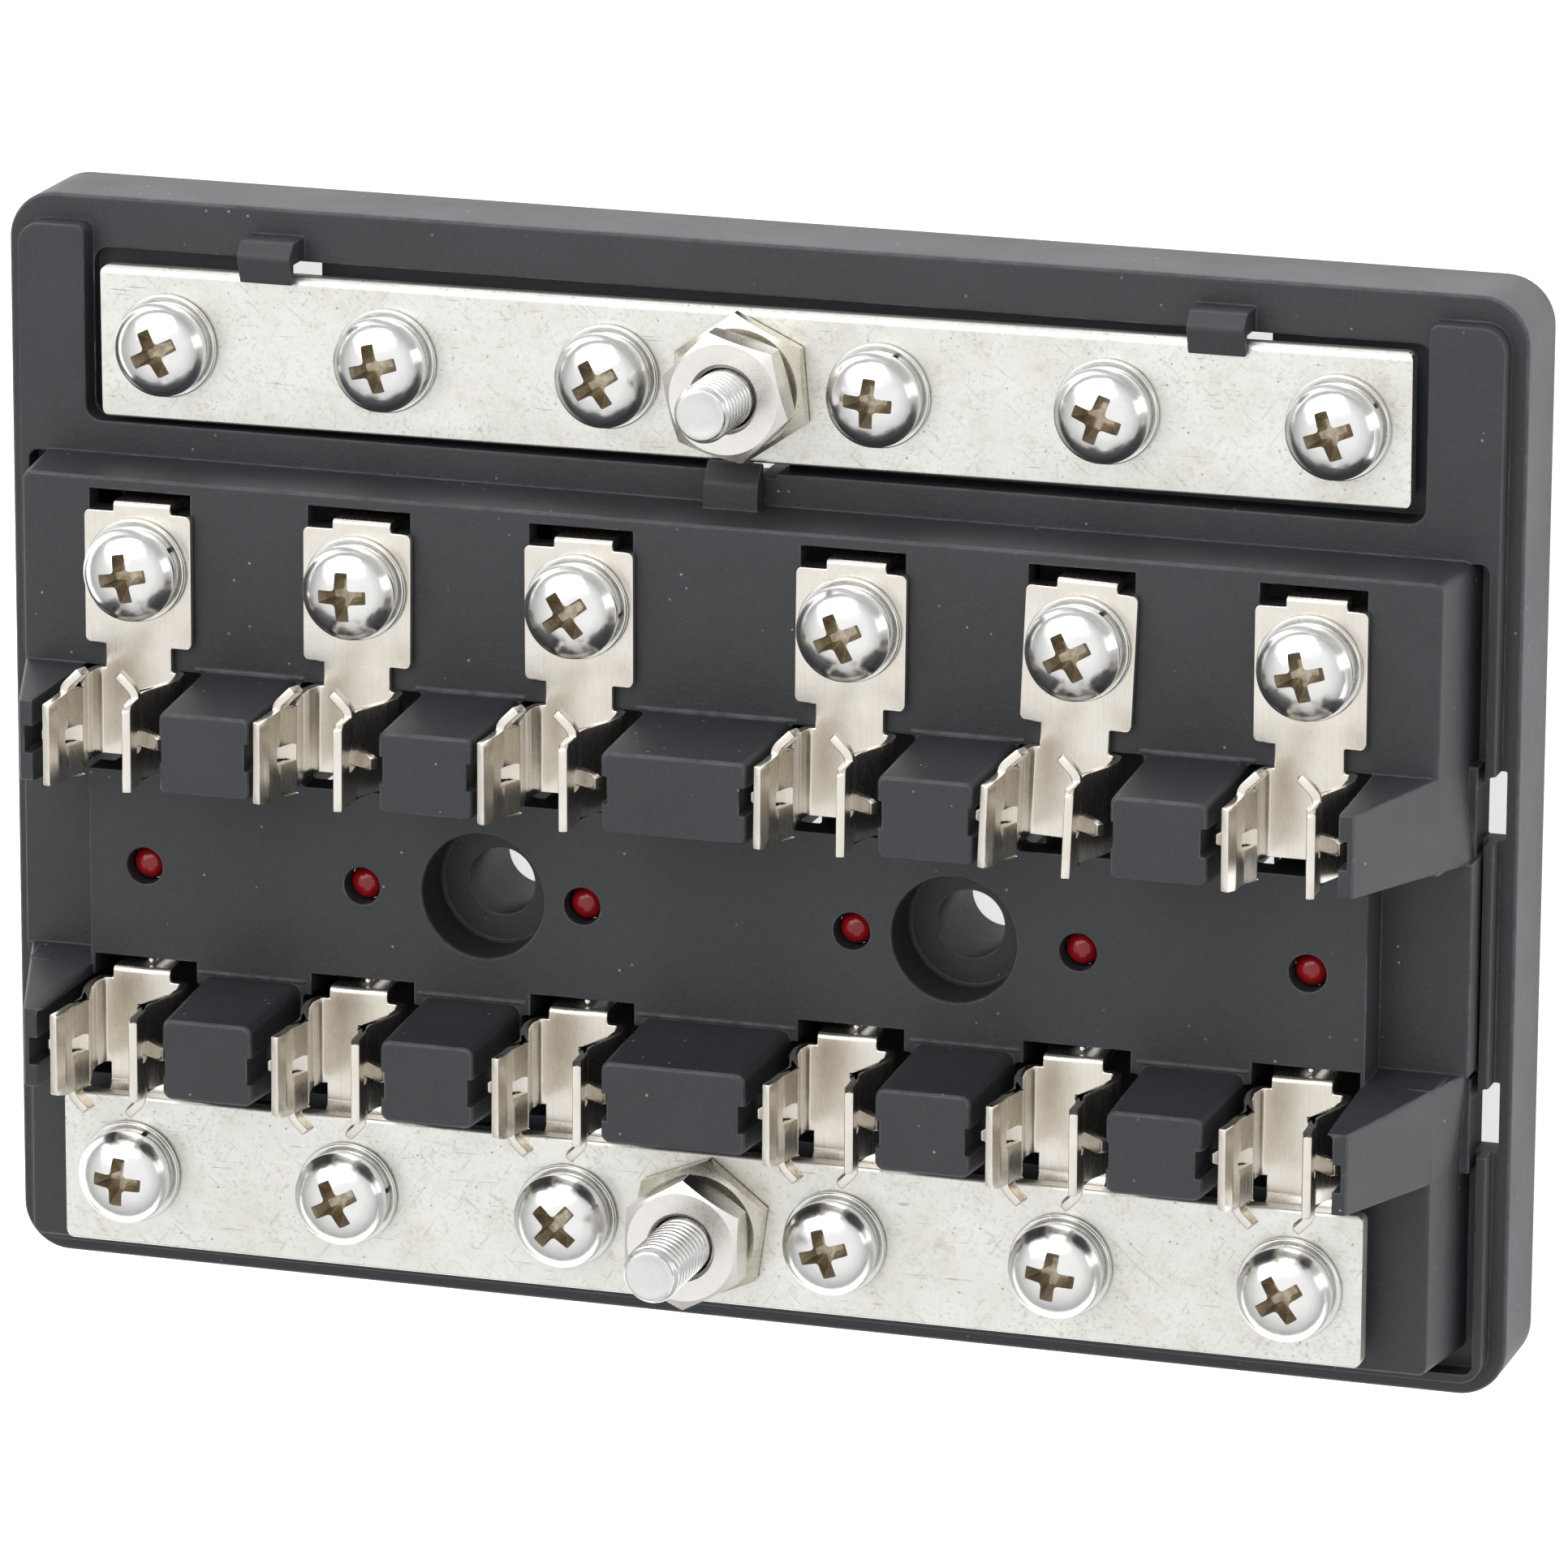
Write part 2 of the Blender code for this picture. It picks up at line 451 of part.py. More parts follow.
# ---------------------------------------------------------------- fuse clips
def clip(name, lower):
    """One stamped clip about its column, v measured out from the lamp row."""
    t = SHEET
    way = -1.0 if lower else 1.0
    z = PLATE_Z

    def band(a, b):
        return tuple(sorted((Y(way * a), Y(way * b))))

    outer = [(3.3, z + 0.03), (4.0, z + 0.75), (4.15, z + 2.1), (3.95, 22.0), (2.95, 25.3), (3.45, 27.5), (3.5, 29.2),
             (3.8, CLIP_TIP_Z)]
    inner = [(3.1, CLIP_TIP_Z), (2.8, 29.3), (2.75, 27.4), (2.25, 25.35), (2.95, 22.8), (3.4, 20.6), (3.3, 19.3),
             (2.7, z + t - 0.03)]
    arms = merged("arms", [outline("arm", [[(s * x, h) for x, h in (outer + inner)]], *band(9.7, 17.0), "Y")
                           for s in (1, -1)])

    neck, wide, far = 2.87, 4.65, 30.2
    half = [(neck, 18.95), (neck, 17.05), (3.55, 16.9), (3.55, 9.4)]
    if lower:
        edge = [(neck, 18.3)] + half[1:]
        edge = edge + [(-x, v) for x, v in reversed(edge)]
        blank = outline(name, [[(x, Y(way * v)) for x, v in edge]], z, z + t)
        step = [(Y(way * v), h) for v, h in ((18.1, z + 0.02), (18.6, z + 0.02), (19.5, z + LOWER_RISE + 0.02),
                                             (20.3, z + LOWER_RISE + 0.02), (20.3, z + LOWER_RISE + t - 0.02),
                                             (19.2, z + LOWER_RISE + t - 0.02), (18.2, z + t - 0.02),
                                             (18.1, z + t - 0.02))]
        combine(blank, outline("joggle", [step], 0.02 - neck, neck - 0.02, "X"), "UNION")
        pad = [(x, Y(way * v)) for x, v in rounded([(-wide, 19.9), (-wide, far), (wide, far), (wide, 19.9)], 0.6, 1)]
        combine(blank, outline("pad", [pad, ring(0.0, Y(LOWER_ROW_Y), 2.5, 12)], z + LOWER_RISE, z + LOWER_RISE + t),
                "UNION")
        tab = [(Y(way * v), h) for v, h in ((9.8, z + 0.02), (9.8, z + t - 0.02), (8.8, z + t - 0.02), (8.45, z + 0.35),
                                            (8.45, 14.0), (9.1, 14.0), (9.1, z + 0.02))]
        combine(blank, outline("tab", [tab], -2.6, 2.45, "X"), "UNION")
    else:
        edge = [(wide, far), (wide, 18.85)] + half
        edge = edge + [(-x, v) for x, v in reversed(edge)]
        edge = rounded(edge, [0.6, 0.5] + [0] * 8 + [0.5, 0.6], 1)
        blank = outline(name, [[(x, Y(v)) for x, v in edge], ring(0.0, Y(TERMINAL_ROW_Y), 2.5, 12)], z, z + t)
        tab = [(Y(v), h) for v, h in ((29.7, z + 0.02), (29.7, z + t - 0.02), (30.6, z + t - 0.02), (31.1, z + 0.3),
                                      (31.1, 14.0), (30.4, 14.0), (30.4, z + 0.02))]
        combine(blank, outline("tab", [tab], -2.1, 2.9, "X"), "UNION")
    combine(blank, arms, "UNION")

    # end stops bent in from the arms, and the lances that bite into the blocks
    stops, lances = [], []
    for s in (-1, 1):
        stop = [(s * 3.3, Y(way * 16.6)), (s * 3.3, Y(way * 17.35)), (s * 2.05, Y(way * 18.65)),
                (s * 1.55, Y(way * 18.15)), (s * 2.7, Y(way * 16.95)), (s * 2.7, Y(way * 16.6))]
        stops.append(outline("stop", [stop], 26.4, 27.55))
        lance = [(s * 2.7, 25.75), (s * 2.9, 25.1), (s * 5.15, 26.95), (s * 5.0, 27.6)]
        lances.append(outline("lance", [lance], *band(12.5, 13.8), "Y"))
    combine(blank, merged("stops", stops), "UNION")
    combine(blank, merged("lances", lances), "UNION")
    return settle(blank)


def leaned(mesh, lean):
    """A copy whose arms lean sideways by a distance at their tips."""
    copy = mesh.copy()
    foot = (PLATE_Z + 1.1) * MM
    for vert in copy.vertices:
        if vert.co.z > foot:
            vert.co.x += lean * MM * (vert.co.z - foot) / (CLIP_TIP_Z * MM - foot)
    return copy


for lower, label, leans in ((False, "terminal_clip", LEAN_UPPER), (True, "bus_clip", LEAN_LOWER)):
    master = clip(label, lower)
    for i, (x, lean) in enumerate(zip(COLUMNS, leans), 1):
        finish(place("%s_%d" % (label, i), leaned(master.data, lean), x, 0.0, 0.0), SPRING)
    bpy.data.objects.remove(master, do_unlink=True)


# ---------------------------------------------------------------- screws with captive washers
def screw_mesh(name, shank):
    """Pan head, split washer and flat washer on a shank; height 0 is the washer's seat."""
    profile = [(0.0, 3.75), (2.4, 3.5), (3.55, 2.6), (HEAD_R, 1.45), (3.7, 1.4), (3.7, 0.64), (WASHER_R, 0.6),
               (WASHER_R, 0.0), (SCREW_R, 0.0), (SCREW_R, -shank), (0.0, -shank)]
    obj = settle(turned(name, profile, 12))
    w, l = 0.55, 2.15
    cross = [(l, -w), (l, w), (w, w), (w, l), (-w, l), (-w, w), (-l, w), (-l, -w), (-w, -w), (-w, -l), (w, -l), (w, -w)]
    tool = outline("cross", [cross], 2.2, 4.2)
    tool.data.transform(Matrix.Rotation(math.radians(6.0), 4, "Z"))
    combine(obj, tool, "DIFFERENCE")
    return settle(obj)


for label, row, seat, shank, turns in (
        ("upper_bar_screw", UPPER_ROW_Y, UPPER_BAR[2] + 0.15, 5.0, TURN_UPPER_BAR),
        ("terminal_screw", TERMINAL_ROW_Y, PLATE_Z + SHEET + 0.15, 6.5, TURN_TERMINAL),
        ("lower_bar_screw", LOWER_ROW_Y, LOWER_BAR[2] + 0.15, 8.0, TURN_LOWER_BAR)):
    master = screw_mesh(label, shank)
    tilt = UPPER_BAR_TURN if row == UPPER_ROW_Y else 0.0
    for i, (x, turn) in enumerate(zip(COLUMNS, turns), 1):
        finish(place("%s_%d" % (label, i), master.data, x, Y(row) + x * tilt, seat, turn), STEEL, True)
    bpy.data.objects.remove(master, do_unlink=True)


# ---------------------------------------------------------------- studs and their nuts
def hexagon(flats, turn):
    return [(flats / 2 / math.cos(math.pi / 6) * math.cos(math.radians(turn + 60 * k)),
             flats / 2 / math.cos(math.pi / 6) * math.sin(math.radians(turn + 60 * k))) for k in range(6)]


def hex_nut(name, flats, high, bore, turn):
    """A hexagon nut with its top corners turned off."""
    nut = outline(name, [hexagon(flats, turn)], 0.0, high)
    r = flats / 2
    dome = turned("dome", [(0.0, high + 0.01), (r + 0.05, high + 0.01), (r + 1.4, high - 0.55), (r + 1.4, -1.0),
                           (0.0, -1.0)], 18)
    combine(nut, settle(dome), "INTERSECT")
    combine(nut, outline("bore", [ring(0.0, 0.0, bore, 16)], -1.0, high + 1.0), "DIFFERENCE")
    return settle(nut)


for where, row, seat, tip, base_turn, nut_turn in (
        ("upper", UPPER_ROW_Y, UPPER_BAR[2], 22.7, 35.0, 45.0),
        ("lower", LOWER_ROW_Y, LOWER_BAR[2], 35.3, 22.0, 30.0)):
    under = (BAY_FLOOR_Z if where == "upper" else FACE_Z) - SKIN - 0.2
    stud = turned("stud_" + where, [(0.0, tip), (2.0, tip), (STUD_R, tip - 0.7), (STUD_R, under), (4.4, under),
                                    (4.4, under - 2.6), (0.0, under - 2.6)], 16)
    settle(stud)
    stud.location = (0.0, Y(row) * MM, 0.0)
    finish(stud, NUT, True)
    for name, flats, low, high, bore, turn in (
            ("stud_base_nut_", 10.7, 0.15, 1.65, 2.65, base_turn),
            ("stud_nut_", NUT_AF, 2.5, 5.55, 2.6, nut_turn)):
        nut = hex_nut(name + where, flats, high - low, bore, turn)
        nut.location = (0.0, Y(row) * MM, (seat + low) * MM)
        finish(nut, NUT)
    gap = math.radians(14)
    arc = [(r * math.cos(a), r * math.sin(a)) for r, order in ((4.1, 1), (2.75, -1))
           for a in [gap / 2 + (2 * math.pi - gap) * k / 16 for k in range(17)][::order]]
    washer = outline("stud_lock_washer_" + where, [arc], 0.0, 0.7)
    washer.location = (0.0, Y(row) * MM, (seat + 1.75) * MM)
    washer.rotation_euler = (0.0, 0.0, math.radians(-50))
    finish(washer, STEEL)


# ---------------------------------------------------------------- lamps and their resistors
def wire(name, points, radius):
    """A bent round wire through points in mm."""
    curve = bpy.data.curves.new(name, "CURVE")
    curve.dimensions = "3D"
    curve.bevel_depth = radius * MM
    curve.bevel_resolution = 0
    curve.use_fill_caps = True
    spline = curve.splines.new("POLY")
    spline.points.add(len(points) - 1)
    for point, (a, b, c) in zip(spline.points, points):
        point.co = (a * MM, b * MM, c * MM, 1.0)
    lead = add(bpy.data.objects.new(name, curve))
    mesh = baked(lead)
    mesh.transform(lead.matrix_world)
    bpy.data.objects.remove(lead, do_unlink=True)
    return add(bpy.data.objects.new(name, closed(mesh)))


lamp = turned("lamp", [(0.0, 17.3)] + [(1.34 * math.sin(math.radians(a)), 16.0 + 1.3 * math.cos(math.radians(a)))
                                       for a in (30, 60, 90)]
              + [(1.34, 14.2), (1.7, 14.2), (1.7, 12.6), (0.0, 12.6)], 12)
settle(lamp)
combine(lamp, wire("lead", [(0.3, 0.0, 13.0), (0.3, 0.0, 11.6), (0.3, -1.2, 10.6), (0.3, -6.4, 10.6),
                            (0.3, -7.6, 11.4), (0.3, -8.1, 12.6), (0.3, -8.1, 16.2)], 0.24), "UNION")
settle(lamp)
for i, x in enumerate(COLUMNS, 1):
    finish(place("lamp_%d" % i, lamp.data, x, Y(0.0), 0.0), RED, True)
bpy.data.objects.remove(lamp, do_unlink=True)

for side in (1, -1):
    body = turned("resistor", [(0.0, 3.4), (1.15, 2.9), (1.15, 2.1), (1.0, 1.8), (1.0, -1.8), (1.15, -2.1),
                               (1.15, -2.9), (0.0, -3.4)], 10)
    settle(body)
    body.data.transform(Matrix.Translation((side * 4.3 * MM, -0.6 * MM, 12.2 * MM)) @ Matrix.Rotation(math.pi / 2, 4, "X"))
    combine(body, wire("lead", [(side * 4.3, -3.6, 12.2), (side * 4.3, -4.9, 12.2), (side * 3.5, -5.6, 12.2),
                                (side * 1.2, -5.6, 12.2)], 0.26), "UNION")
    over = [(side * 4.3, 2.4, 12.2), (side * 4.3, 3.6, 11.9), (side * 3.6, 5.2, 11.0), (-4.4, 5.8, 10.4),
            (-4.7, 6.3, 10.4), (-4.7, 8.6, 10.4), (-4.7, 9.0, 11.2), (-4.7, 9.0, 14.0)]
    combine(body, wire("lead", over, 0.26), "UNION")
    settle(body)
    # each one lies on the side of its lamp that is away from a mounting pillar
    for i, x in enumerate(COLUMNS, 1):
        if side == (1 if i in (1, 3, 5) else -1):
            finish(place("resistor_%d" % i, body.data, x, Y(0.0), 0.0), TAN, True)
    bpy.data.objects.remove(body, do_unlink=True)
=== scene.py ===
import math
import random

import bmesh
import bpy
from mathutils import Matrix, Vector


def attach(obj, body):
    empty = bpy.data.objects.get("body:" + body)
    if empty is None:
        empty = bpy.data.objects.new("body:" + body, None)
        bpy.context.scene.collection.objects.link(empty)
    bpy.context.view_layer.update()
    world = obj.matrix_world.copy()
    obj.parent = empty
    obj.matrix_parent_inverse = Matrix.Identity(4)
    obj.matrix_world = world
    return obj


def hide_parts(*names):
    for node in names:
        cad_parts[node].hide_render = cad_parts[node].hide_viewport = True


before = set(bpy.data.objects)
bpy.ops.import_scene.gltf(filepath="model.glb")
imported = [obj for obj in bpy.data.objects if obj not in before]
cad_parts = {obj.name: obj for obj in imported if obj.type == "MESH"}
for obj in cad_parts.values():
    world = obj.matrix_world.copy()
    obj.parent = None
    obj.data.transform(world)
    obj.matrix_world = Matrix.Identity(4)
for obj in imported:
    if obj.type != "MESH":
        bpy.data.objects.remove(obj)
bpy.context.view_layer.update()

MM = 0.001
ROOT = "block"
rng = random.Random(11)

# ---------------------------------------------------------------- sizes, mm
LAMP_ROW_Y = -8.55
FACE_Z = 18.0
COLUMNS = (-49.6, -30.55, -11.5, 11.5, 30.55, 49.6)
BASE_X, BASE_Y0, BASE_Y1, BASE_R = 64.4, -37.1, 54.2, 4.0
FLANGE_Z, RIDGE_Z = 9.0, 11.1
PLATFORM_TOP = (60.0, -32.84, 32.8)
PLATFORM_FOOT = (61.1, -33.1, 33.1)
SKIN = 2.2
BAY = (-56.9, 56.6, 35.77, 49.95)
BAY_FLOOR_Z = 7.8
BLOCK_TOP_Z = 29.4
BLOCKS = ((-44.5, -36.0, -43.9, -36.1), (-25.3, -16.9, -25.0, -17.0), (-6.32, 6.32, -6.13, 6.13),
          (16.9, 25.3, 17.0, 25.0), (36.0, 44.5, 36.2, 44.2))
WELL_HALF_X, WELL_FLOOR_Z = 5.25, 8.0
MOUNT_X = 20.1
BAR_HALF, BAR_T = 55.5, 1.5
UPPER_BAR = (36.56, 49.3, 11.2)
LOWER_BAR = (-31.53, -18.72, 21.66)
UPPER_BAR_TURN, LOWER_BAR_TURN = 0.0064, 0.0012
UPPER_ROW_Y, TERMINAL_ROW_Y, LOWER_ROW_Y = 42.95, 25.47, -25.2
STUD_R = 2.415
SHEET = 0.72
PLATE_Z = FACE_Z + 0.15
LOWER_RISE = 0.95
CLIP_TIP_Z = 30.46
LEAN_UPPER = (-0.2, -1.0, -1.0, -0.6, -0.55, -0.26)
LEAN_LOWER = (0.06, 0.3, 0.22, 0.2, -0.2, -0.05)
TWIST_UPPER = (0.0, -0.3, 0.2, -0.4, -2.2, 0.1)
TURN_UPPER_BAR = (27.0, 15.0, 31.0, -4.0, -19.0, 20.0)
TURN_TERMINAL = (10.0, 2.0, 36.0, 24.0, 28.0, 14.0)
TURN_LOWER_BAR = (-5.0, 28.0, -42.0, 17.0, -8.0, 33.0)


def Y(v):
    return v + LAMP_ROW_Y


# ---------------------------------------------------------------- material nodes
class Look:
    """A material whose nodes work in millimetres on the piece itself."""

    def __init__(self, name, rough, metal, spread=True):
        self.mat = bpy.data.materials.new(name)
        self.mat.use_nodes = True
        self.tree = self.mat.node_tree
        self.shader = self.tree.nodes["Principled BSDF"]
        self.shader.inputs["Roughness"].default_value = rough
        self.shader.inputs["Metallic"].default_value = metal
        where = self.node("ShaderNodeTexCoord").outputs["Object"]
        scaled = self.node("ShaderNodeVectorMath", {0: where, 1: (1000.0, 1000.0, 1000.0)}, operation="MULTIPLY").outputs[0]
        if spread:
            luck = self.node("ShaderNodeObjectInfo").outputs["Random"]
            shift = self.node("ShaderNodeMath", {0: luck, 1: 173.0}, operation="MULTIPLY").outputs[0]
            scaled = self.node("ShaderNodeVectorMath", {0: scaled, 1: shift}, operation="ADD").outputs[0]
        self.mm = scaled

    def node(self, kind, inputs=None, **settings):
        made = self.tree.nodes.new(kind)
        for key, value in settings.items():
            setattr(made, key, value)
        for key, value in (inputs or {}).items():
            if isinstance(value, bpy.types.NodeSocket):
                self.tree.links.new(value, made.inputs[key])
            else:
                made.inputs[key].default_value = value
        return made

    def stretch(self, x, y, z):
        return self.node("ShaderNodeVectorMath", {0: self.mm, 1: (x, y, z)}, operation="MULTIPLY").outputs[0]

    def noise(self, scale, detail=3.0, rough=0.55, at=None):
        return self.node("ShaderNodeTexNoise", {"Vector": at or self.mm, "Scale": scale, "Detail": detail,
                                                "Roughness": rough}).outputs["Fac"]

    def cells(self, scale, at=None):
        return self.node("ShaderNodeTexVoronoi", {"Vector": at or self.mm, "Scale": scale}).outputs["Distance"]

    def band(self, value, low, high, a=0.0, b=1.0):
        return self.node("ShaderNodeMapRange", {0: value, 1: low, 2: high, 3: a, 4: b}, clamp=True).outputs[0]

    def times(self, a, b):
        return self.node("ShaderNodeMath", {0: a, 1: b}, operation="MULTIPLY").outputs[0]

    def plus(self, a, b):
        return self.node("ShaderNodeMath", {0: a, 1: b}, operation="ADD").outputs[0]

    def mix(self, amount, a, b):
        made = self.tree.nodes.new("ShaderNodeMix")
        made.data_type = "RGBA"
        for key, value in ((0, amount), (6, a), (7, b)):
            if isinstance(value, bpy.types.NodeSocket):
                self.tree.links.new(value, made.inputs[key])
            else:
                made.inputs[key].default_value = (*value, 1.0) if isinstance(value, tuple) else value
        return made.outputs[2]

    def eased(self, radius):
        if not hasattr(self, "soft"):
            self.soft = self.node("ShaderNodeBevel", {"Radius": radius * MM}, samples=2).outputs[0]
        return self.soft

    def edges(self, radius, low, high):
        """Where the surface turns sharply: 0 on flats, 1 on edges."""
        soft = self.eased(radius)
        own = self.node("ShaderNodeNewGeometry").outputs["Normal"]
        dot = self.node("ShaderNodeVectorMath", {0: soft, 1: own}, operation="DOT_PRODUCT").outputs["Value"]
        return self.band(dot, 1.0 - low, 1.0 - high)

    def bump(self, layers, soften=0.0):
        """Adds heights of (value, depth in mm) to the surface normal."""
        normal = self.eased(soften) if soften else None
        for value, depth in layers:
            given = {"Height": value, "Strength": 1.0, "Distance": depth * MM}
            if normal:
                given["Normal"] = normal
            normal = self.node("ShaderNodeBump", given).outputs[0]
        self.set("Normal", normal)

    def set(self, key, value):
        if isinstance(value, bpy.types.NodeSocket):
            self.tree.links.new(value, self.shader.inputs[key])
        else:
            self.shader.inputs[key].default_value = value


def plastic_look():
    look = Look("charcoal_plastic", 0.5, 0.0, spread=False)
    cloud = look.noise(0.09, 4.0, 0.6)
    grain = look.noise(3.2, 4.0, 0.7)
    colour = look.mix(look.band(cloud, 0.3, 0.7), (0.0185, 0.0196, 0.0238), (0.0265, 0.0278, 0.0325))
    colour = look.mix(look.times(look.band(grain, 0.45, 0.75), 0.38), colour, (0.050, 0.052, 0.059))
    # handling dust: sparse pale dots
    dots = look.band(look.cells(0.62), 0.085, 0.05)
    sparse = look.band(look.noise(0.16, 2.0), 0.50, 0.60)
    colour = look.mix(look.times(look.times(dots, sparse), 0.75), colour, (0.30, 0.30, 0.31))
    # worn corners show paler; the pale edges are partly real wear and partly a painted highlight where the edges catch
    # the light
    wear_and_edge_highlight = look.times(look.edges(0.26, 0.02, 0.16), look.band(look.noise(0.6, 4.0, 0.65), 0.26, 0.62))
    colour = look.mix(look.times(wear_and_edge_highlight, 0.80), colour, (0.200, 0.208, 0.225))
    look.set("Base Color", colour)
    look.set("Roughness", look.band(look.plus(look.times(cloud, 0.6), look.times(grain, 0.4)), 0.3, 0.7, 0.42, 0.56))
    look.set("Specular IOR Level", 0.5)
    scuffs = look.noise(1.0, 3.0, 0.6, look.stretch(0.25, 2.4, 1.0))
    look.bump([(look.noise(0.14, 2.0), 0.10), (grain, 0.030), (look.noise(9.0, 2.0), 0.006),
               (look.band(scuffs, 0.66, 0.74), 0.006)], 0.26)
    return look.mat


def bar_look():
    look = Look("nickel_bar", 0.34, 1.0)
    brush = look.noise(1.0, 4.0, 0.65, look.stretch(0.07, 5.5, 5.5))
    cloud = look.noise(0.13, 4.0, 0.6)
    colour = look.mix(look.band(cloud, 0.35, 0.68), (0.80, 0.80, 0.765), (0.72, 0.71, 0.665))
    stain = look.times(look.band(look.noise(0.22, 5.0, 0.7), 0.56, 0.70), look.band(look.noise(0.9, 3.0), 0.42, 0.60))
    colour = look.mix(look.times(stain, 0.45), colour, (0.55, 0.47, 0.33))
    specks = look.times(look.band(look.cells(1.05), 0.15, 0.07), look.band(look.noise(0.5, 2.0), 0.47, 0.58))
    colour = look.mix(look.times(specks, 0.72), colour, (0.28, 0.26, 0.22))
    mottled = look.band(look.noise(0.7, 5.0, 0.75), 0.50, 0.64)
    colour = look.mix(look.times(mottled, 0.30), colour, (0.56, 0.54, 0.48))
    fine = look.band(look.noise(2.6, 4.0, 0.75), 0.53, 0.66)
    patches = look.band(look.noise(0.24, 3.0, 0.6), 0.42, 0.62, 0.35, 1.0)
    colour = look.mix(look.times(look.times(fine, patches), 0.62), colour, (0.42, 0.40, 0.35))
    thin = look.node("ShaderNodeTexNoise", {"Vector": look.node("ShaderNodeVectorRotate", {
        "Vector": look.stretch(1.0, 1.0, 1.0), "Angle": 0.9}, rotation_type="Z_AXIS").outputs[0], "Scale": 0.35,
        "Detail": 1.0}).outputs["Fac"]
    lines = look.band(look.noise(1.0, 2.0, 0.5, look.stretch(0.22, 4.0, 1.0)), 0.68, 0.72)
    colour = look.mix(look.times(lines, look.band(thin, 0.46, 0.54, 0.0, 0.6)), colour, (0.36, 0.34, 0.30))
    for angle, low in ((0.7, 0.695), (-0.95, 0.70)):
        slant = look.node("ShaderNodeVectorRotate", {"Vector": look.mm, "Angle": angle}, rotation_type="Z_AXIS").outputs[0]
        drawn = look.node("ShaderNodeVectorMath", {0: slant, 1: (0.28, 3.4, 1.0)}, operation="MULTIPLY").outputs[0]
        scratch = look.band(look.noise(1.0, 1.0, 0.5, drawn), low, low + 0.02)
        colour = look.mix(look.times(scratch, 0.30), colour, (0.40, 0.38, 0.33))
    look.set("Base Color", colour)
    rough = look.plus(look.band(cloud, 0.3, 0.7, 0.30, 0.40), look.times(look.band(brush, 0.35, 0.7), 0.08))
    look.set("Roughness", look.plus(rough, look.times(look.plus(stain, specks), 0.12)))
    look.bump([(look.noise(0.10, 2.0), 0.05), (brush, 0.006), (look.noise(5.0, 3.0), 0.004), (specks, -0.01)])
    return look.mat


def clip_look():
    look = Look("spring_nickel", 0.27, 1.0)
    drawn = look.noise(1.0, 4.0, 0.65, look.stretch(4.5, 0.16, 4.5))
    cloud = look.noise(0.32, 3.0, 0.6)
    colour = look.mix(look.band(cloud, 0.35, 0.65), (0.79, 0.755, 0.695), (0.725, 0.68, 0.61))
    colour = look.mix(look.times(look.band(drawn, 0.50, 0.78), 0.15), colour, (0.52, 0.475, 0.40))
    marks = look.times(look.band(look.cells(1.7), 0.16, 0.07), look.band(look.noise(0.45, 2.0), 0.50, 0.62))
    colour = look.mix(look.times(marks, 0.4), colour, (0.50, 0.46, 0.39))
    look.set("Base Color", colour)
    look.set("Roughness", look.plus(look.band(drawn, 0.3, 0.7, 0.24, 0.30), look.times(marks, 0.10)))
    look.bump([(look.noise(0.35, 2.0), 0.022), (drawn, 0.0022), (look.noise(6.0, 2.0), 0.0015)])
    return look.mat


def screw_look(name, pale, rough):
    look = Look(name, rough, 1.0)
    cloud = look.noise(0.5, 3.0, 0.6)
    colour = look.mix(look.band(cloud, 0.3, 0.7), pale, tuple(c * 0.93 for c in pale))
    pits = look.times(look.band(look.cells(3.0), 0.13, 0.08), look.band(look.noise(0.8, 2.0), 0.50, 0.60))
    colour = look.mix(look.times(pits, 0.5), colour, (0.36, 0.34, 0.30))
    look.set("Base Color", colour)
    swirl = look.noise(1.0, 3.0, 0.6, look.stretch(0.9, 0.9, 9.0))
    look.set("Roughness", look.plus(look.band(swirl, 0.35, 0.7, rough * 0.8, rough * 1.3), look.times(pits, 0.15)))
    look.bump([(look.noise(0.7, 2.0), 0.022), (swirl, 0.004), (look.noise(7.0, 2.0), 0.0015)])
    return look.mat


def recess_look():
    look = Look("driver_recess", 0.42, 1.0)
    cloud = look.noise(1.6, 4.0, 0.65)
    look.set("Base Color", look.mix(look.band(cloud, 0.35, 0.7), (0.58, 0.52, 0.42), (0.34, 0.28, 0.20)))
    look.set("Roughness", look.band(cloud, 0.3, 0.7, 0.34, 0.52))
    look.bump([(cloud, 0.02)])
    return look.mat


def nut_look(name, pale, dark, amount):
    look = Look(name, 0.30, 1.0)
    cloud = look.noise(0.35, 4.0, 0.65)
    colour = look.mix(look.band(cloud, 0.3, 0.7), pale, tuple(c * 0.94 for c in pale))
    specks = look.times(look.band(look.cells(2.3), 0.17, 0.09), look.band(look.noise(0.7, 2.0), 0.45, 0.57))
    colour = look.mix(look.times(specks, amount), colour, dark)
    grime = look.band(look.noise(0.55, 5.0, 0.7), 0.50, 0.72)
    colour = look.mix(look.times(grime, amount * 0.5), colour, dark)
    look.set("Base Color", colour)
    turned_marks = look.noise(4.0, 3.0, 0.6)
    look.set("Roughness", look.plus(look.band(turned_marks, 0.3, 0.7, 0.24, 0.34), look.times(specks, 0.15)))
    look.bump([(cloud, 0.010), (turned_marks, 0.002), (specks, -0.005)])
    return look.mat


